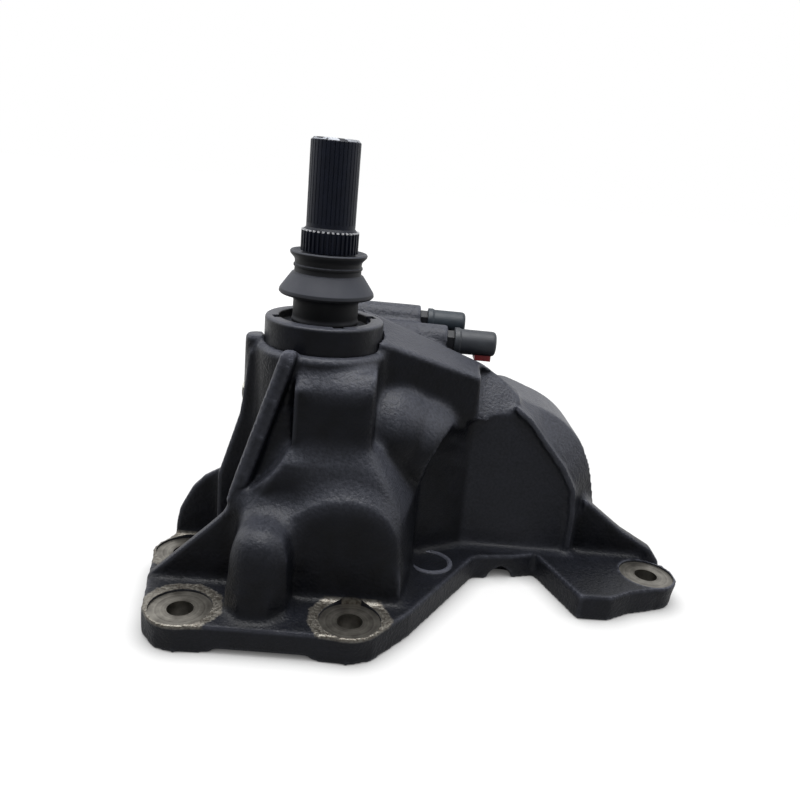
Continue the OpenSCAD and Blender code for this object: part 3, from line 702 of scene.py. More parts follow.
def hexagon(name: str, flat_r: float, low: float, top: float, bore: float, centre: Sequence[float]) -> Mesh:
    """Makes a hexagon head or nut along X with the rounded chamfer of its outer end.

    The distance at angle a is flat_r / cos(a) within 30 degrees of each flat. The chamfer drops by half of
    what that is above 0.96 flat_r.

    Args:
        name: Mesh name.
        flat_r: Half the size across flats.
        low: Station of the outer, chamfered end.
        top: Station of the seated end.
        bore: Radius of the hole, or zero.
        centre: Point on the axis, in millimetres.

    Returns:
        The closed mesh.
    """
    angle = np.linspace(0.0, 360.0, 96, endpoint=False)
    reach = flat_r / np.cos(np.radians((angle + 30.0) % 60.0 - 30.0))
    same = np.ones_like(angle)
    face = 0.96 * flat_r
    r = np.stack([bore * same, face * same, reach, reach, bore * same], -1)
    h = np.stack([low * same, low * same, low + 0.5 * (reach - face), top * same, top * same], -1)
    return swept(name, r, h, Axis.X, centre)


def joined(name: str, meshes: Sequence[Mesh]) -> Mesh:
    """Joins meshes of triangles into one.

    Args:
        name: Mesh name.
        meshes: Meshes that are used up.

    Returns:
        The joined mesh.
    """
    parts = [arrays(mesh) for mesh in meshes]
    starts = np.cumsum([0] + [len(points) for points, _ in parts])
    tris = [corners + start for (_, corners), start in zip(parts, starts)]
    for mesh in meshes:
        bpy.data.meshes.remove(mesh)
    return mesh_from(name, np.concatenate([points for points, _ in parts]), np.concatenate(tris))


def outward(mesh: Mesh) -> Mesh:
    """Turns a closed mesh right side out when its signed volume is negative.

    Args:
        mesh: Mesh that is turned in place.

    Returns:
        The same mesh.
    """
    points, corners = arrays(mesh)
    a, b, c = np.moveaxis(points[corners], 1, 0)
    if dot(a, np.cross(b, c)).sum() < 0.0:
        mesh.flip_normals()
    return mesh


def settled(piece: Piece) -> Mesh:
    """Copies an object's mesh with its modifiers worked in."""
    bpy.context.view_layer.update()
    return bpy.data.meshes.new_from_object(piece.evaluated_get(bpy.context.evaluated_depsgraph_get()))


def take_out(piece: Piece, tools: Sequence[Mesh]) -> None:
    """Cuts closed meshes out of a piece, which keeps sharp edges there.

    Args:
        piece: Object that is cut.
        tools: Closed meshes, which are used up.
    """
    for index, mesh in enumerate(tools):
        tool = shown(f"tool_{index}", mesh)
        cut = piece.modifiers.new(f"cut_{index}", "BOOLEAN")
        cut.operation = "DIFFERENCE"
        cut.solver = "MANIFOLD"
        cut.object = tool
        piece.data, old = settled(piece), piece.data
        piece.modifiers.clear()
        bpy.data.meshes.remove(old)
        bpy.data.objects.remove(tool)
        bpy.data.meshes.remove(mesh)


class Neighbours:
    """The edges of a mesh as arrays, which give each point the mean over its neighbours."""

    def __init__(self, mesh: Mesh) -> None:
        """Reads the edges of a mesh.

        Args:
            mesh: Mesh whose points are averaged.
        """
        self.count = len(mesh.vertices)
        ends = read(mesh.edges, "vertices", 2, np.int32)
        self.a, self.b = ends.T
        self.degree = np.maximum(np.bincount(ends.ravel(), minlength=self.count), 1)

    def over_edges(self, at_a: Array, at_b: Array) -> Array:
        """Averages over the edges of each point what they hold for it at their two ends."""
        return (np.bincount(self.a, at_a, self.count) + np.bincount(self.b, at_b, self.count)) / self.degree

    def mean(self, values: Array) -> Array:
        """Averages one number over the neighbours of each point."""
        return self.over_edges(values[self.b], values[self.a])

    def middle(self, points: Array) -> Array:
        """Gives the middle of the neighbours of each point."""
        return np.stack([self.mean(points[:, k]) for k in range(3)], -1)


@dataclass(frozen=True)
class Cut:
    """A turned cavity of the casting, and the range of the plug that fills it before the skin is softened."""

    axis: Axis
    start: float
    end: float
    radius: float
    u: float = 0.0
    v: float = 0.0
    plug: Pair | None = None

    @property
    def wide(self) -> bool:
        """Tells a bore or seat from a hole."""
        return self.radius > 8.0

    def solid(self, start: float, end: float, grow: float, around: int) -> Mesh:
        """Turns the closed cylinder of a tool or a plug.

        Args:
            start: First height along the axis.
            end: Last height along the axis.
            grow: Added to the radius.
            around: Steps round the axis.

        Returns:
            The closed mesh.
        """
        r = self.radius + grow
        outline = np.array([(0.0, start), (r, start), (r, end), (0.0, end)])
        centre = (0.0, self.u, self.v) if self.axis is Axis.X else (self.u, self.v, 0.0)
        return turned("tool", outline, self.axis, centre, around)

    def tool(self) -> Mesh:
        """Makes the closed mesh that cuts the cavity."""
        return self.solid(self.start, self.end, 0.0, 96 if self.wide else 40)

    def inside(self, points: Array, slack: float) -> Array:
        """Tells which points lie in the cavity.

        Args:
            points: Points in millimetres.
            slack: Added to the cavity on every side.

        Returns:
            A mask of the points.
        """
        order = [1, 2, 0] if self.axis is Axis.X else [0, 1, 2]
        u, v, height = (points[:, order] - np.array([self.u, self.v, 0.0])).T
        return (np.hypot(u, v) < self.radius + slack) & (height > self.start - slack) & (height < self.end + slack)


def bolt_places() -> list[Pair]:
    """Lists the six places on the bolt circle of the side cover."""
    return [(SECTOR_Y + BOLT_CIRCLE_R * math.cos(turn), SECTOR_Z + BOLT_CIRCLE_R * math.sin(turn))
            for turn in np.radians(np.arange(0, 360, 60))]


def bored_cuts() -> list[Cut]:
    """Lists the machined cavities of the casting: tower, sector axis, ports and bolt holes.

    Returns:
        The cuts.
    """
    up, across, seat = Axis.Z, Axis.X, COVER_SEAT_X
    sector = (SECTOR_Y, SECTOR_Z)
    cuts = [Cut(up, BORE_FLOOR, TOWER_H + PAST, BORE_R, plug=(BORE_FLOOR - PLUG_PAST, TOWER_H)),
            Cut(up, BORE_TOP, TOWER_H + PAST, BORE_R + 1.4, plug=(BORE_TOP - PLUG_PAST, TOWER_H)),
            Cut(up, TOWER_H, HUB_TOP + 30.0, COLLAR_R + ROOM),
            Cut(across, seat - PAST, CHAMBER_END_X, CHAMBER_R, *sector, plug=(seat, CHAMBER_END_X + 1.6)),
            Cut(across, 0.0, JOURNAL_END_X, JOURNAL_R, *sector, plug=(0.0, JOURNAL_END_X + PLUG_PAST)),
            Cut(across, JOURNAL_END_X - PAST, SEAL_END_X, SEAL_R, *sector,
                plug=(JOURNAL_END_X - PLUG_PAST, SEAL_END_X - PAST)),
            Cut(across, -90.0, seat, COVER_R + ROOM, *sector)]
    for low, high in (PRESSURE, RETURN):
        end = float(low[0]) - CAP_GAP
        y, z = (low + high)[1:] / 2.0
        cuts.append(Cut(across, PORT_START_X, end + PAST, PORT_R, y, z, plug=(PORT_START_X - 0.4, end)))
    for y, z in bolt_places():
        cuts.append(Cut(across, seat - PAST, seat + BOLT_HOLE_DEPTH, BOLT_HOLE_R, y, z,
                        plug=(seat, seat + BOLT_HOLE_DEPTH + 2.0)))
    return cuts


def seat_cuts() -> list[Cut]:
    """Lists the bolt holes of the feet and the milled seats round them."""
    holes = [Cut(Axis.Z, -PAST, 40.0, HOLE_R, x, y) for x, y in FEET]
    return holes + [Cut(Axis.Z, FLANGE_T - SEAT_DEPTH, 29.0, SEAT_R, x, y, plug=(0.0, FLANGE_T)) for x, y in FEET]


@dataclass
class Casting:
    """The cast housing: a soft sand cast skin with exact machined faces cut into it."""

    finishes: Finishes
    voxel: float = 1.35
    plug_grow: float = 0.3
    # Rounds of softening, more of them on the steps and the pillar of the front, and what edges get back
    soften: int = 16
    extra: int = 100
    soft_masses: tuple[Box, ...] = (((-8.0, -70.0, 30.0), (62.0, -34.0, 130.0)),
                                    ((-40.0, -90.0, 26.0), (-4.0, -42.0, 70.0)))
    zone_edge: float = 7.0
    keep_edges: float = 0.6
    zone_loss: float = 0.75
    base_mm: float = 0.25
    # Bends between which outer edges turn lighter: thin paint and a painted highlight
    edge: Pair = (0.05, 0.22)
    # Dusting and painted top light: upward part of the normal, heights (lower faces keep less and stay darker), least
    # share, the hollow and the flange's sides
    dust_and_light_tilt: Pair = (0.05, 0.5)
    dust_and_light_z: Pair = (22.0, 80.0)
    dust_and_light_least: float = 0.08
    sheltered: Box = ((86.0, 10.0, 13.0), (158.0, 26.0, 106.0))
    sheltered_edge: float = 3.0
    sheltered_film: float = 0.34
    side_film: float = 0.17
    side_tilt: float = 0.6
    # Ridge line of the slanting rib, and the outline of the bracket at the web and behind it
    ridge: Box = ((-13.5, -38.5, 140.0), (-37.5, -44.2, 60.0))
    ridge_mm: float = 1.5
    ridge_reach: Pair = (9.0, 4.0)
    arch_rim: tuple[Pair, ...] = ((155.0, 36.0), (152.5, 57.0), (144.0, 71.0), (131.0, 86.0), (121.0, 98.0),
                                  (110.0, 106.0))
    arch_outer: tuple[Pair, ...] = ((170.0, 40.0), (164.5, 64.0), (157.0, 79.0), (143.0, 93.0), (127.0, 100.5),
                                    (110.0, 106.5))
    arch_y: Pair = (19.0, 34.0)
    arch_reach: float = 2.5
    roundel: Pair = (69.0, -8.0)

    def build(self) -> list[Piece]:
        """Builds the skin and the blank roundel on the flange.

        Returns:
            The finished pieces.
        """
        skin = self.skin()
        ring = self.ring()
        for piece in (skin, ring):
            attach(piece, Body.CASE.value)
        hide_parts("housing")
        return [skin, ring]

    def filled(self) -> Piece:
        """Joins a copy of the housing with plugs in its cavities.

        Returns:
            A working object whose remesh is the solid casting.
        """
        plugs = [cut.solid(*cut.plug, self.plug_grow, 64) for cut in bored_cuts() + seat_cuts() if cut.plug]
        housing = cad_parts["housing"].data.copy()
        return shown("casting_blank", joined("casting_blank", [housing, *plugs]))

    def skin(self) -> Piece:
        """Remeshes the filled casting, softens it and cuts the machined faces.

        Returns:
            The housing's piece.
        """
        blank = self.filled()
        remesh = blank.modifiers.new("even_cells", "REMESH")
        remesh.mode = "VOXEL"
        remesh.voxel_size = self.voxel * MM
        soft = settled(blank)
        self.relax(soft)
        blank.modifiers.clear()
        blank.data = soft
        take_out(blank, [cut.tool() for cut in bored_cuts() + seat_cuts()])
        mesh = blank.data
        bpy.data.objects.remove(blank)
        mesh.name = "housing_skin"
        mesh.polygons.foreach_set("use_smooth", np.ones(len(mesh.polygons), dtype=bool))
        mesh.materials.clear()
        piece = place(mesh, self.finishes[Look.CAST], 32.0)
        for look in (Look.PAD, Look.BORED, Look.PLAIN_PAINT):
            mesh.materials.append(self.finishes[look])
        mesh.polygons.foreach_set("material_index", self.zones(mesh))
        self.note_edges(mesh)
        mesh.update()
        return piece

    def relax(self, mesh: Mesh) -> None:
        """Softens a mesh as a sand mould does, with wide fillets and tighter outer edges.

        Every point moves to the middle of its neighbours several times, and more often on the stepped front.
        What that takes off at outer edges is partly given back, and the base plane keeps its height.

        Args:
            mesh: Even mesh that is changed in place.
        """
        start = read(mesh.vertices, "co").astype(float)
        around = Neighbours(mesh)
        base = start[:, 2] < self.base_mm * MM
        worn = self.soft_zone(start / MM)
        now = start.copy()
        for turn in range(self.soften + self.extra):
            now += 0.5 * (around.middle(now) - now) * (1.0 if turn < self.soften else worn[:, None])
            now[base, 2] = start[base, 2]
        mesh.vertices.foreach_set("co", now.astype(np.float32).ravel())
        mesh.update()
        normals = read(mesh.vertex_normals, "vector").astype(float)
        taken = np.maximum(-dot(now - start, normals), 0.0)
        back = taken * self.keep_edges * (1.0 - self.zone_loss * worn)
        now += normals * (back + self.ridge_swell(now / MM))[:, None]
        now += self.arch_swell(now / MM)
        now[:, 2] = np.maximum(now[:, 2], 0.0)
        now[base, 2] = 0.0
        mesh.vertices.foreach_set("co", now.astype(np.float32).ravel())
        mesh.update()

    def ridge_swell(self, points: Array) -> Array:
        """Thickens the slanting rib, which the softening has thinned, by its distance from the ridge line.

        Args:
            points: Points in millimetres.

        Returns:
            Way of each point along its normal, in metres.
        """
        top, foot = (np.array(end) for end in self.ridge)
        run = foot - top
        along = np.clip((points - top) @ run / (run @ run), 0.0, 1.0)
        reach = np.linalg.norm(points - top - along[:, None] * run, axis=1)
        return self.ridge_mm * MM * step(reach, *self.ridge_reach)

    def arch_swell(self, points: Array) -> Array:
        """Rounds the straight runs of the bracket's outline.

        Each point on the outline moves out by a parabola over its run, as high as an arc with the turns at both
        ends of that run. The outline goes from the rim at the web to the wider one behind it.

        Args:
            points: Points in millimetres.

        Returns:
            Way of each point, in metres.
        """
        rim, outer = np.array(self.arch_rim), np.array(self.arch_outer)
        back = step(points[:, 1], *self.arch_y)[:, None]
        behind_web = points[:, 1] > self.arch_y[0] + 1.0
        flat = points[:, [0, 2]]
        runs = np.diff(outer, axis=0)
        turns = np.abs(np.diff(np.unwrap(np.arctan2(runs[:, 1], runs[:, 0]))))
        bends = (np.append(turns, turns[-1]) + np.insert(turns, 0, 0.0)) / 2.0
        way = np.zeros_like(points)
        for k, bend in enumerate(bends):
            low, high = (rim[i] + back * (outer[i] - rim[i]) for i in (k, k + 1))
            run = high - low
            length = np.linalg.norm(run, axis=1)
            out = np.stack([run[:, 1], -run[:, 0]], -1) / length[:, None]
            along = dot(flat - low, run) / length ** 2
            near = np.clip(self.arch_reach - np.abs(dot(flat - low, out)), 0.0, 1.0)
            held = (along > 0.0) & (along <= 1.0) & behind_web
            rise = np.where(held, length * bend / 2.0 * along * (1.0 - along) * near, 0.0)
            way[:, [0, 2]] += out * rise[:, None]
        return way * MM

    def soft_zone(self, points: Array) -> Array:
        """Weighs how far each point lies inside the two soft masses of the front, the steps and the pillar.

        Args:
            points: Points in millimetres.

        Returns:
            One inside, falling to zero over the zone's edge.
        """
        return np.max([step(depth_in(points, box), 0.0, self.zone_edge) for box in self.soft_masses], axis=0)

    def note_edges(self, mesh: Mesh) -> None:
        """Writes where outer edges are lighter, as thin paint and a painted highlight, and where upward faces are
        lighter, as a dusting and painted top light.

        The bend is how far a point stands above the middle of its neighbours, over their distance, evened out
        over a few cells. The dusting and painted top light follow the upward part of the normal and grow with
        height, with little on the low flange, which stays darker, and some on the flange's sides and on the web in
        the sheltered hollow.

        Args:
            mesh: Finished skin.
        """
        points, _ = arrays(mesh)
        around = Neighbours(mesh)
        normals = read(mesh.vertex_normals, "vector")
        lengths = np.linalg.norm(points[around.a] - points[around.b], axis=1)
        size = np.maximum(around.over_edges(lengths, lengths), 0.3)
        bend = dot(points - around.middle(points), normals) / size
        for _ in range(3):
            bend = 0.5 * bend + 0.5 * around.mean(bend)
        note(mesh, EDGE_NAME, step(bend, *self.edge))
        height = points[:, 2]
        # upward faces lighter, more so higher up, so the low flange stays darker: a dusting and painted top light
        dust_and_light = upward(mesh, *self.dust_and_light_tilt) * np.maximum(step(height, *self.dust_and_light_z), self.dust_and_light_least)
        hollow = step(depth_in(points, self.sheltered), 0.0, self.sheltered_edge)
        sides = (np.abs(normals[:, 2]) < self.side_tilt) & (height < FLANGE_T + 0.5)
        dust_and_light = np.maximum(dust_and_light, self.sheltered_film * hollow)
        note(mesh, DUST_AND_TOP_LIGHT_NAME, np.maximum(dust_and_light, self.side_film * sides))

    def zones(self, mesh: Mesh) -> Array:
        """Sorts the faces into cast paint, milled pads, bored faces and unworn paint on the seats' walls, which is a
        painted shadow ring, by where they lie.

        Args:
            mesh: Finished skin.

        Returns:
            Material index of each face.
        """
        slack, level = 0.06, 0.05
        points = read(mesh.polygons, "center").astype(float) / MM
        height = points[:, 2]
        index = np.full(len(points), Zone.CAST, dtype=np.int32)
        for cut in bored_cuts():
            if cut.plug:
                index[cut.inside(points, slack)] = Zone.BORED
        seat = np.abs(height - (FLANGE_T - SEAT_DEPTH)) < level
        for cut in seat_cuts():
            inside = cut.inside(points, slack)
            index[inside & (seat | (not cut.wide))] = Zone.MILLED
            if cut.wide:
                # the seats' walls keep unworn dark paint: a painted shadow ring at the step
                index[inside & ~seat & (height < FLANGE_T + 1.0)] = Zone.PLAIN
        index[height < level] = Zone.MILLED
        return index

    def ring(self) -> Piece:
        """Turns the low raised ring of the blank roundel.

        Returns:
            The ring.
        """
        outline = rounded([(9.6, -0.6, 0.0), (13.6, -0.6, 0.0), (12.6, 1.5, 0.8), (10.6, 1.5, 0.8)])
        mesh = turned("flange_roundel", outline, Axis.Z, (*self.roundel, FLANGE_T))
        # the whole ring takes the light edge colour: thin paint and a painted highlight
        note(mesh, EDGE_NAME, np.ones(len(mesh.vertices)))
        return place(mesh, self.finishes[Look.CAST])


@dataclass
class InputEnd:
    """The rubber boot and the screwed top cover round the input shaft."""

    finishes: Finishes
    recess_r: float = 24.0
    recess_depth: float = 5.0
    hub_r: float = 15.4
    skirt_r: Pair = (22.1, 29.35)
    bore_r: Pair = (11.0, 13.0)
    web: float = 3.0
    notch_size: Point = (4.5, 6.0, 5.0)
    notch_depth: float = 3.2
    notch_turns: tuple[float, ...] = (20.0, 110.0, 200.0, 290.0)
    axis: Point = (0.0, 0.0, 0.0)
    sharp: float = 40.0

    def build(self) -> list[Piece]:
        """Builds the boot and the cover."""
        return [self.boot(), self.cover()]

    def boot(self) -> Piece:
        """Turns the boot: a cuff, a skirt like a cone and a brim like a dish.

        Returns:
            The boot.
        """
        low, rim, top = COLLAR_TOP - 3.0, COLLAR_TOP, BOOT_TOP
        outline = rounded([
            (15.8, low, 0.4), (17.3, low, 0.5), (17.6, low + 1.6, 0.6), (17.0, low + 3.4, 0.8),
            (17.0, rim + 9.0, 1.2), (18.4, rim + 11.2, 1.2), (23.9, rim + 11.8, 0.25), (24.7, rim + 12.7, 0.25),
            (24.3, rim + 14.4, 0.3), (18.5, rim + 22.6, 0.3), (17.3, rim + 22.9, 0.4), (17.2, top - 8.4, 0.3),
            (17.8, top - 8.1, 0.3), (17.8, top - 7.0, 0.3), (17.2, top - 6.7, 0.3), (17.3, top - 4.4, 0.9),
            (19.6, top - 1.9, 0.2), (19.9, top - 0.8, 0.2), (19.3, top, 0.2), (17.6, top - 0.7, 0.4),
            (15.5, top - 1.4, 0.5), (13.5, top - 1.4, 0.3), (13.5, HUB_TOP + 3.5, 0.4),
            (15.8, HUB_TOP + 1.5, 0.6)], 7)
        boot = place(turned("boot", outline, Axis.Z, self.axis, 128), self.finishes[Look.RUBBER], self.sharp)
        # the boot's upward faces lighter: a dusting and painted top light
        note(boot.data, DUST_AND_TOP_LIGHT_NAME, upward(boot.data, 0.0, 0.5))
        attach(boot, Body.INPUT.value)
        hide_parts("dust_boot")
        return boot

    def cover(self) -> Piece:
        """Turns the top cover with its rounded collar and cuts the four spanner notches.

        Returns:
            The cover.
        """
        floor = COLLAR_TOP - self.recess_depth
        under = floor - self.web
        (skirt_in, skirt_out), (bore, hub_bore) = self.skirt_r, self.bore_r
        outline = rounded([
            (skirt_in, SKIRT_Z, 0.0), (skirt_out, SKIRT_Z, 0.0), (skirt_out, TOWER_H, 0.0), (COLLAR_R, TOWER_H, 0.3),
            (COLLAR_R, COLLAR_TOP, 1.8), (self.recess_r, COLLAR_TOP, 0.7), (self.recess_r, floor, 1.2),
            (self.hub_r, floor, 1.0), (self.hub_r, HUB_TOP, 0.5), (hub_bore, HUB_TOP, 0.4), (hub_bore, floor, 0.0),
            (bore, floor, 0.0), (bore, under, 0.0), (skirt_in, under, 0.0)])
        mesh = turned("screwed_cover", outline, Axis.Z, self.axis, 160)
        cover = place(mesh, self.finishes[Look.PLAIN_PAINT], self.sharp)
        take_out(cover, [self.notch(math.radians(turn)) for turn in self.notch_turns])
        cover.data.set_sharp_from_angle(angle=math.radians(self.sharp))
        # the cover's upward faces lighter: a dusting and painted top light
        note(cover.data, DUST_AND_TOP_LIGHT_NAME, upward(cover.data, 0.1, 0.7))
        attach(cover, Body.CASE.value)
        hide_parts("top_cover")
        return cover

    def notch(self, turn: float) -> Mesh:
        """Makes the block that cuts one spanner notch.

        Args:
            turn: Angle of the notch in radians.

        Returns:
            The block's mesh.
        """
        box = np.array(np.meshgrid((0.0, 1.0), (0.0, 1.0), (0.0, 1.0), indexing="ij")).reshape(3, -1).T
        low = np.array([self.recess_r - PAST, -self.notch_size[1] / 2.0, COLLAR_TOP - self.notch_depth])
        local = low + box * np.array(self.notch_size)
        c, s = math.cos(turn), math.sin(turn)
        spin = np.array([[c, s, 0.0], [-s, c, 0.0], [0.0, 0.0, 1.0]])
        quads = np.array([[0, 1, 3, 2], [4, 6, 7, 5], [0, 4, 5, 1], [2, 3, 7, 6], [0, 2, 6, 4], [1, 5, 7, 3]])
        return outward(mesh_from("notch", local @ spin, quads))


@dataclass
class Ports:
    """The transport caps on the two oil ports."""

    finishes: Finishes
    bore: float = 4.0
    most_depth: float = 8.3

    def build(self) -> list[Piece]:
        """Builds both caps."""
        return [self.cap("pressure_plug", "pressure_cap", "blue_cap", PRESSURE, self.finishes[Look.BLUE]),
                self.cap("return_plug", "return_cap", "grey_cap", RETURN, self.finishes[Look.GREY])]

    def cap(self, name: str, node: str, slot: str, box: tuple[Array, Array], finish: Material) -> Piece:
        """Turns a moulded cap with a rounded end and a thicker mouth.

        Args:
            name: Name of the piece.
            node: Solid that it stands for.
            slot: Material slot of that solid; not used.
            box: Low and high corner of that solid.
            finish: Moulded plastic.

        Returns:
            The cap.
        """
        (x0, _, _), (x1, y1, _) = box
        _, y, z = (box[0] + box[1]) / 2.0
        r = y1 - y
        end = x0 + min(self.most_depth, 0.5 * (x1 - x0))
        outline = rounded([(self.bore, x0, 0.3), (r, x0, 0.5), (r, x0 + 3.0, 0.5), (r - 0.6, x0 + 3.8, 0.4),
                           (r - 0.7, x1, 2.6), (0.0, x1, 0.0), (0.0, end, 0.0), (self.bore, end, 0.4)], 6)
        cap = place(turned(name, outline, Axis.X, (0.0, y, z), 72), finish, 40.0)
        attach(cap, Body.CASE.value)
        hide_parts(node)
        return cap


@dataclass
class SideCover:
    """The side cover with its bolts and the lock nut of the adjuster."""

    finishes: Finishes
    gasket: float = 0.5
    plate: float = 7.0
    hub_r: float = 20.0
    journal_r: float = 16.0
    thread_r: float = 4.5
    head_flat: float = 4.9
    head_h: float = 4.5
    washer_r: float = 5.95
    washer_h: float = 1.5
    nut_flat: float = 7.36

    def build(self) -> list[Piece]:
        """Builds cover, bolts and nut.

        Returns:
            The finished pieces.
        """
        pieces = [self.cover(), self.bolts(), self.nut()]
        for piece in pieces:
            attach(piece, Body.CASE.value)
        return pieces

    def cover(self) -> Piece:
        """Turns the cover with a rounded rim, a coved hub and the bore for the sector's journal.

        Returns:
            The cover.
        """
        low, high = (float(corner[0]) for corner in span("side_cover"))
        seat = COVER_SEAT_X - self.gasket
        outer = seat - self.plate
        outline = rounded([
            (self.thread_r, low, 0.4), (self.hub_r, low, 2.0), (self.hub_r + 0.8, outer, 2.6), (COVER_R, outer, 2.4),
            (COVER_R, seat, 0.3), (self.hub_r, seat, 0.0), (self.hub_r, high, 0.5), (self.journal_r, high, 0.5),
            (self.journal_r, outer - 0.3, 0.0), (self.thread_r, outer - 0.3, 0.0)], 6)
        mesh = turned("sector_cover", outline, Axis.X, SECTOR_AXIS, 160)
        cover = place(mesh, self.finishes[Look.PLAIN_PAINT], 40.0)
        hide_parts("side_cover")
        return cover

    def bolts(self) -> Piece:
        """Sets six hexagon heads with pressed flanges on the bolt circle.

        Returns:
            All bolts as one piece.
        """
        outer = COVER_SEAT_X - self.gasket - self.plate
        top = outer - self.washer_h
        collar = rounded([(0.0, outer, 0.0), (self.washer_r, outer, 0.2), (self.washer_r, outer - 0.8, 0.3),
                          (self.washer_r - 0.65, top, 0.3), (0.0, top, 0.0)], 4)
        heads = []
        for y, z in bolt_places():
            heads.append(hexagon("head", self.head_flat, outer - self.head_h, top + 0.5, 0.0, (0.0, y, z)))
            heads.append(turned("collar", collar, Axis.X, (0.0, y, z), 48))
        bolts = place(joined("cover_bolts", heads), self.finishes[Look.ZINC], 30.0)
        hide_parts("side_bolts")
        return bolts

    def nut(self) -> Piece:
        """Makes the chamfered lock nut of the adjuster.

        Returns:
            The nut.
        """
        low, high = (float(corner[0]) for corner in span("adjuster_nut"))
        mesh = hexagon("lock_nut", self.nut_flat, low, high, self.thread_r, SECTOR_AXIS)
        nut = place(mesh, self.finishes[Look.ZINC], 30.0)
        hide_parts("adjuster_nut")
        return nut


@dataclass
class OutputEnd:
    """The thread on the stud of the sector shaft, which holds the drop arm's nut."""

    finishes: Finishes
    stud_r: float = 9.0
    start_x: float = 92.5
    end_gap: float = 1.6
    pitch: float = 1.5
    depth: float = 0.62
    lift: float = 0.03
    sink: float = 0.4
    around: int = 72
    rows_a_pitch: int = 12

    def build(self) -> list[Piece]:
        """Cuts the thread as a helical wave on a sleeve.

        The distance at station x and angle a is the root plus the depth times a triangle wave of
        x / pitch - a / 360, and it fades out at both ends.

        Returns:
            The thread.
        """
        end_x = float(span("sector_shaft")[1][0]) - self.end_gap
        x = np.linspace(self.start_x, end_x, int((end_x - self.start_x) / self.pitch * self.rows_a_pitch))
        turn = np.linspace(0.0, 1.0, self.around, endpoint=False)[:, None]
        wave = 1.0 - np.abs(2.0 * ((x[None, :] / self.pitch - turn) % 1.0) - 1.0)
        fade = step(np.minimum(x - self.start_x, end_x - x), 0.0, self.pitch)
        crest = self.stud_r + self.lift + self.depth * wave * fade
        r = np.pad(crest, ((0, 0), (1, 1)), constant_values=self.stud_r - self.sink)
        h = np.broadcast_to(np.pad(x, 1, mode="edge"), r.shape)
        thread = place(swept("stud_thread", r, h, Axis.X, SECTOR_AXIS), self.finishes[Look.ZINC], 60.0)
        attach(thread, Body.SECTOR.value)
        return [thread]


@dataclass
class PlainNodes:
    """Solids whose shape is already right: they only get their finish."""

    finishes: Finishes

    def dress(self) -> None:
        """Gives every solid its finish, which is ground steel where no other is named."""
        groups = {
            Look.BLACK_STEEL: ("snap_ring", "pressure_fitting", "return_fitting"),
            Look.SHAFT: ("input_shaft",),
            Look.RUBBER: ("cover_o_ring", "input_seal", "output_seal", "output_dust_seal", "ring_expander",
                          "dust_boot"),
            Look.PLAIN_PAINT: ("housing", "side_cover", "top_cover"),
            Look.FIBRE: ("side_gasket",),
            Look.BRONZE: ("cover_bush",),
            Look.PTFE: ("sleeve_rings", "piston_ring"),
            Look.BLUE: ("pressure_cap",),
            Look.GREY: ("return_cap",),
            Look.RED: ("return_cap_tab",),
        }
        looks = {node: look for look, nodes in groups.items() for node in nodes}
        for name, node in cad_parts.items():
            node.data.materials.clear()
            node.data.materials.append(self.finishes[looks.get(name, Look.STEEL)])
        LOG.info("dressed %d solids", len(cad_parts))


@dataclass(frozen=True)
class SoftBox:
    """A square lamp: its place and side in metres and its power in watts."""

    name: str
    spot: Point
    size: float
    power: float


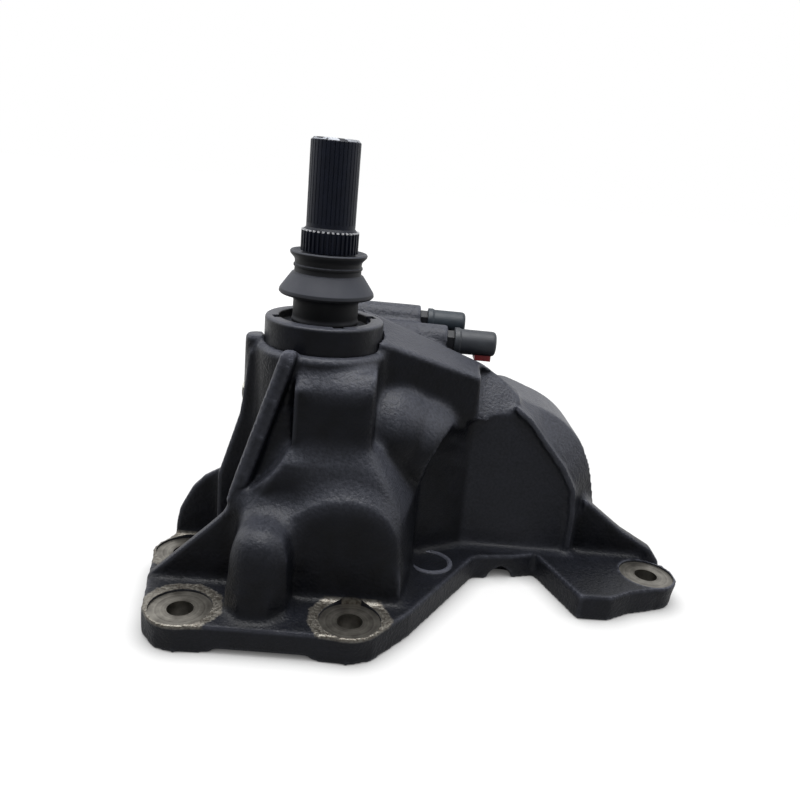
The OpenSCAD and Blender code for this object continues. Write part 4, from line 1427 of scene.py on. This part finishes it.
@dataclass
class Studio:
    """Plain pale floor, soft lamps and the camera of the photograph's view."""

    eye: Point = (30.1, -394.9, 231.1)
    yaw: float = 1.94
    pitch: float = 17.31
    roll: float = 5.57
    focal_px: float = 761.4
    frame_px: float = 800.0
    paper: str = "#8f8f8f"
    floor_half: float = 6000.0
    floor_z: float = -0.2
    contact_mm: float = 12.0
    # Distances, stations and directions in metres, each with the levels between which the white changes there
    floor_reach: Pair = (0.32, 0.75)
    floor_lift: Pair = (0.71, 1.0)
    floor_y: Pair = (-0.1, 0.4)
    floor_gloss: Pair = (0.15, 1.0)
    sky_y: Pair = (-0.4, 0.5)
    sky_gloss: Pair = (0.1, 1.0)
    sky_light: Pair = (0.17, 1.0)
    aim: Point = (0.05, 0.0, 0.08)
    boxes: tuple[SoftBox, ...] = (SoftBox("top_box", (0.0, -0.1, 0.9), 0.75, 10.0),
                                  SoftBox("left_box", (-0.8, 0.1, 0.6), 0.5, 2.6),
                                  SoftBox("right_box", (0.9, -0.2, 0.6), 0.5, 1.6))

    def build(self) -> None:
        """Builds floor, world, lamps and camera."""
        bpy.context.scene.view_settings.view_transform = "Standard"
        self.floor()
        self.world()
        self.lamps()
        self.camera()

    def seen(self, graph: Graph, behind: Socket) -> Socket:
        """Adds the mask of rays that see the white backdrop: from the camera, through glass and in gloss.

        Args:
            graph: Nodes that get the mask.
            behind: Socket that is one behind the part and less in front of it, where the studio is darker.

        Returns:
            Socket that is one for such rays.
        """
        rays = graph.add("LightPath").outputs
        first = graph.math("MAXIMUM", rays["Is Camera Ray"], rays["Is Transmission Ray"])
        return graph.math("MAXIMUM", first, graph.fold("MULTIPLY", rays["Is Glossy Ray"], behind))

    def floor(self) -> None:
        """Lays a wide pale floor just under the feet, which runs out to pure white, with its glow dimmed close to the
        part as painted contact shade.
        """
        corners = np.array([[-1.0, -1.0], [1.0, -1.0], [1.0, 1.0], [-1.0, 1.0]]) * self.floor_half
        mesh = mesh_from("floor", np.column_stack([corners, np.full(4, self.floor_z)]), np.array([[0, 1, 2, 3]]))
        material = bpy.data.materials.new("white_studio_paper")
        graph = Graph(material)
        far = graph.fade(graph.reach(), *self.floor_reach, *self.floor_lift)
        behind = graph.fade(graph.part("Y"), *self.floor_y, *self.floor_gloss)
        # ambient occlusion dims the floor's glow near the part: painted contact shade
        open_sky = graph.add("AmbientOcclusion", {"Distance": self.contact_mm * MM}).outputs["AO"]
        lift = graph.fold("MULTIPLY", far, open_sky, self.seen(graph, behind))
        paper = graph.add("BsdfDiffuse", {"Color": linear(self.paper)})
        glow = graph.add("Emission", {"Color": WHITE, "Strength": lift})
        both = graph.add("AddShader", {0: paper.outputs[0], 1: glow.outputs[0]})
        graph.add("OutputMaterial", {"Surface": both.outputs[0]})
        place(mesh, material)

    def world(self) -> None:
        """Makes a white surround that lights softly and is darker in front, as behind a photographer."""
        world = bpy.data.worlds.new("studio")
        bpy.context.scene.world = world
        graph = Graph(world, "Generated")
        seen = self.seen(graph, graph.fade(graph.part("Y"), *self.sky_y, *self.sky_gloss))
        strength = graph.fade(seen, 0.0, 1.0, *self.sky_light)
        shade = graph.add("Background", {"Color": WHITE, "Strength": strength})
        graph.add("OutputWorld", {"Surface": shade.outputs[0]})

    def lamps(self) -> None:
        """Hangs three soft boxes: a strong one over the part and two weak ones at its sides."""
        for box in self.boxes:
            lamp = bpy.data.lights.new(box.name, "AREA")
            lamp.energy = box.power
            lamp.size = box.size
            holder = shown(box.name, lamp)
            holder.location = Vector(box.spot)
            holder.rotation_euler = (Vector(self.aim) - Vector(box.spot)).to_track_quat("-Z", "Y").to_euler()

    def camera(self) -> None:
        """Sets the camera where the photograph was taken from."""
        yaw, pitch, roll = (math.radians(v) for v in (self.yaw, self.pitch, self.roll))
        ahead = Vector((math.sin(yaw) * math.cos(pitch), math.cos(yaw) * math.cos(pitch), -math.sin(pitch)))
        right = Vector((math.cos(yaw), -math.sin(yaw), 0.0))
        up = right.cross(ahead)
        side = math.cos(roll) * right + math.sin(roll) * up
        rise = math.cos(roll) * up - math.sin(roll) * right
        matrix = Matrix((side, rise, -ahead)).transposed().to_4x4()
        matrix.translation = Vector(self.eye) * MM
        data = bpy.data.cameras.new("camera")
        data.sensor_width = 36.0
        data.lens = self.focal_px / self.frame_px * data.sensor_width
        data.clip_start = 0.01
        camera = shown("camera", data)
        camera.matrix_world = matrix
        bpy.context.scene.camera = camera


def main() -> None:
    """Builds the finishes, the pieces and the studio."""
    logging.basicConfig(level=logging.INFO, format="%(name)s: %(message)s")
    finishes = {look: look.value.build() for look in Look}
    PlainNodes(finishes).dress()
    for assembly in (Casting, InputEnd, Ports, SideCover, OutputEnd):
        for piece in assembly(finishes).build():
            LOG.info("%s: %d faces", piece.name, len(piece.data.polygons))
    Studio().build()


if __name__ == "__main__":
    main()
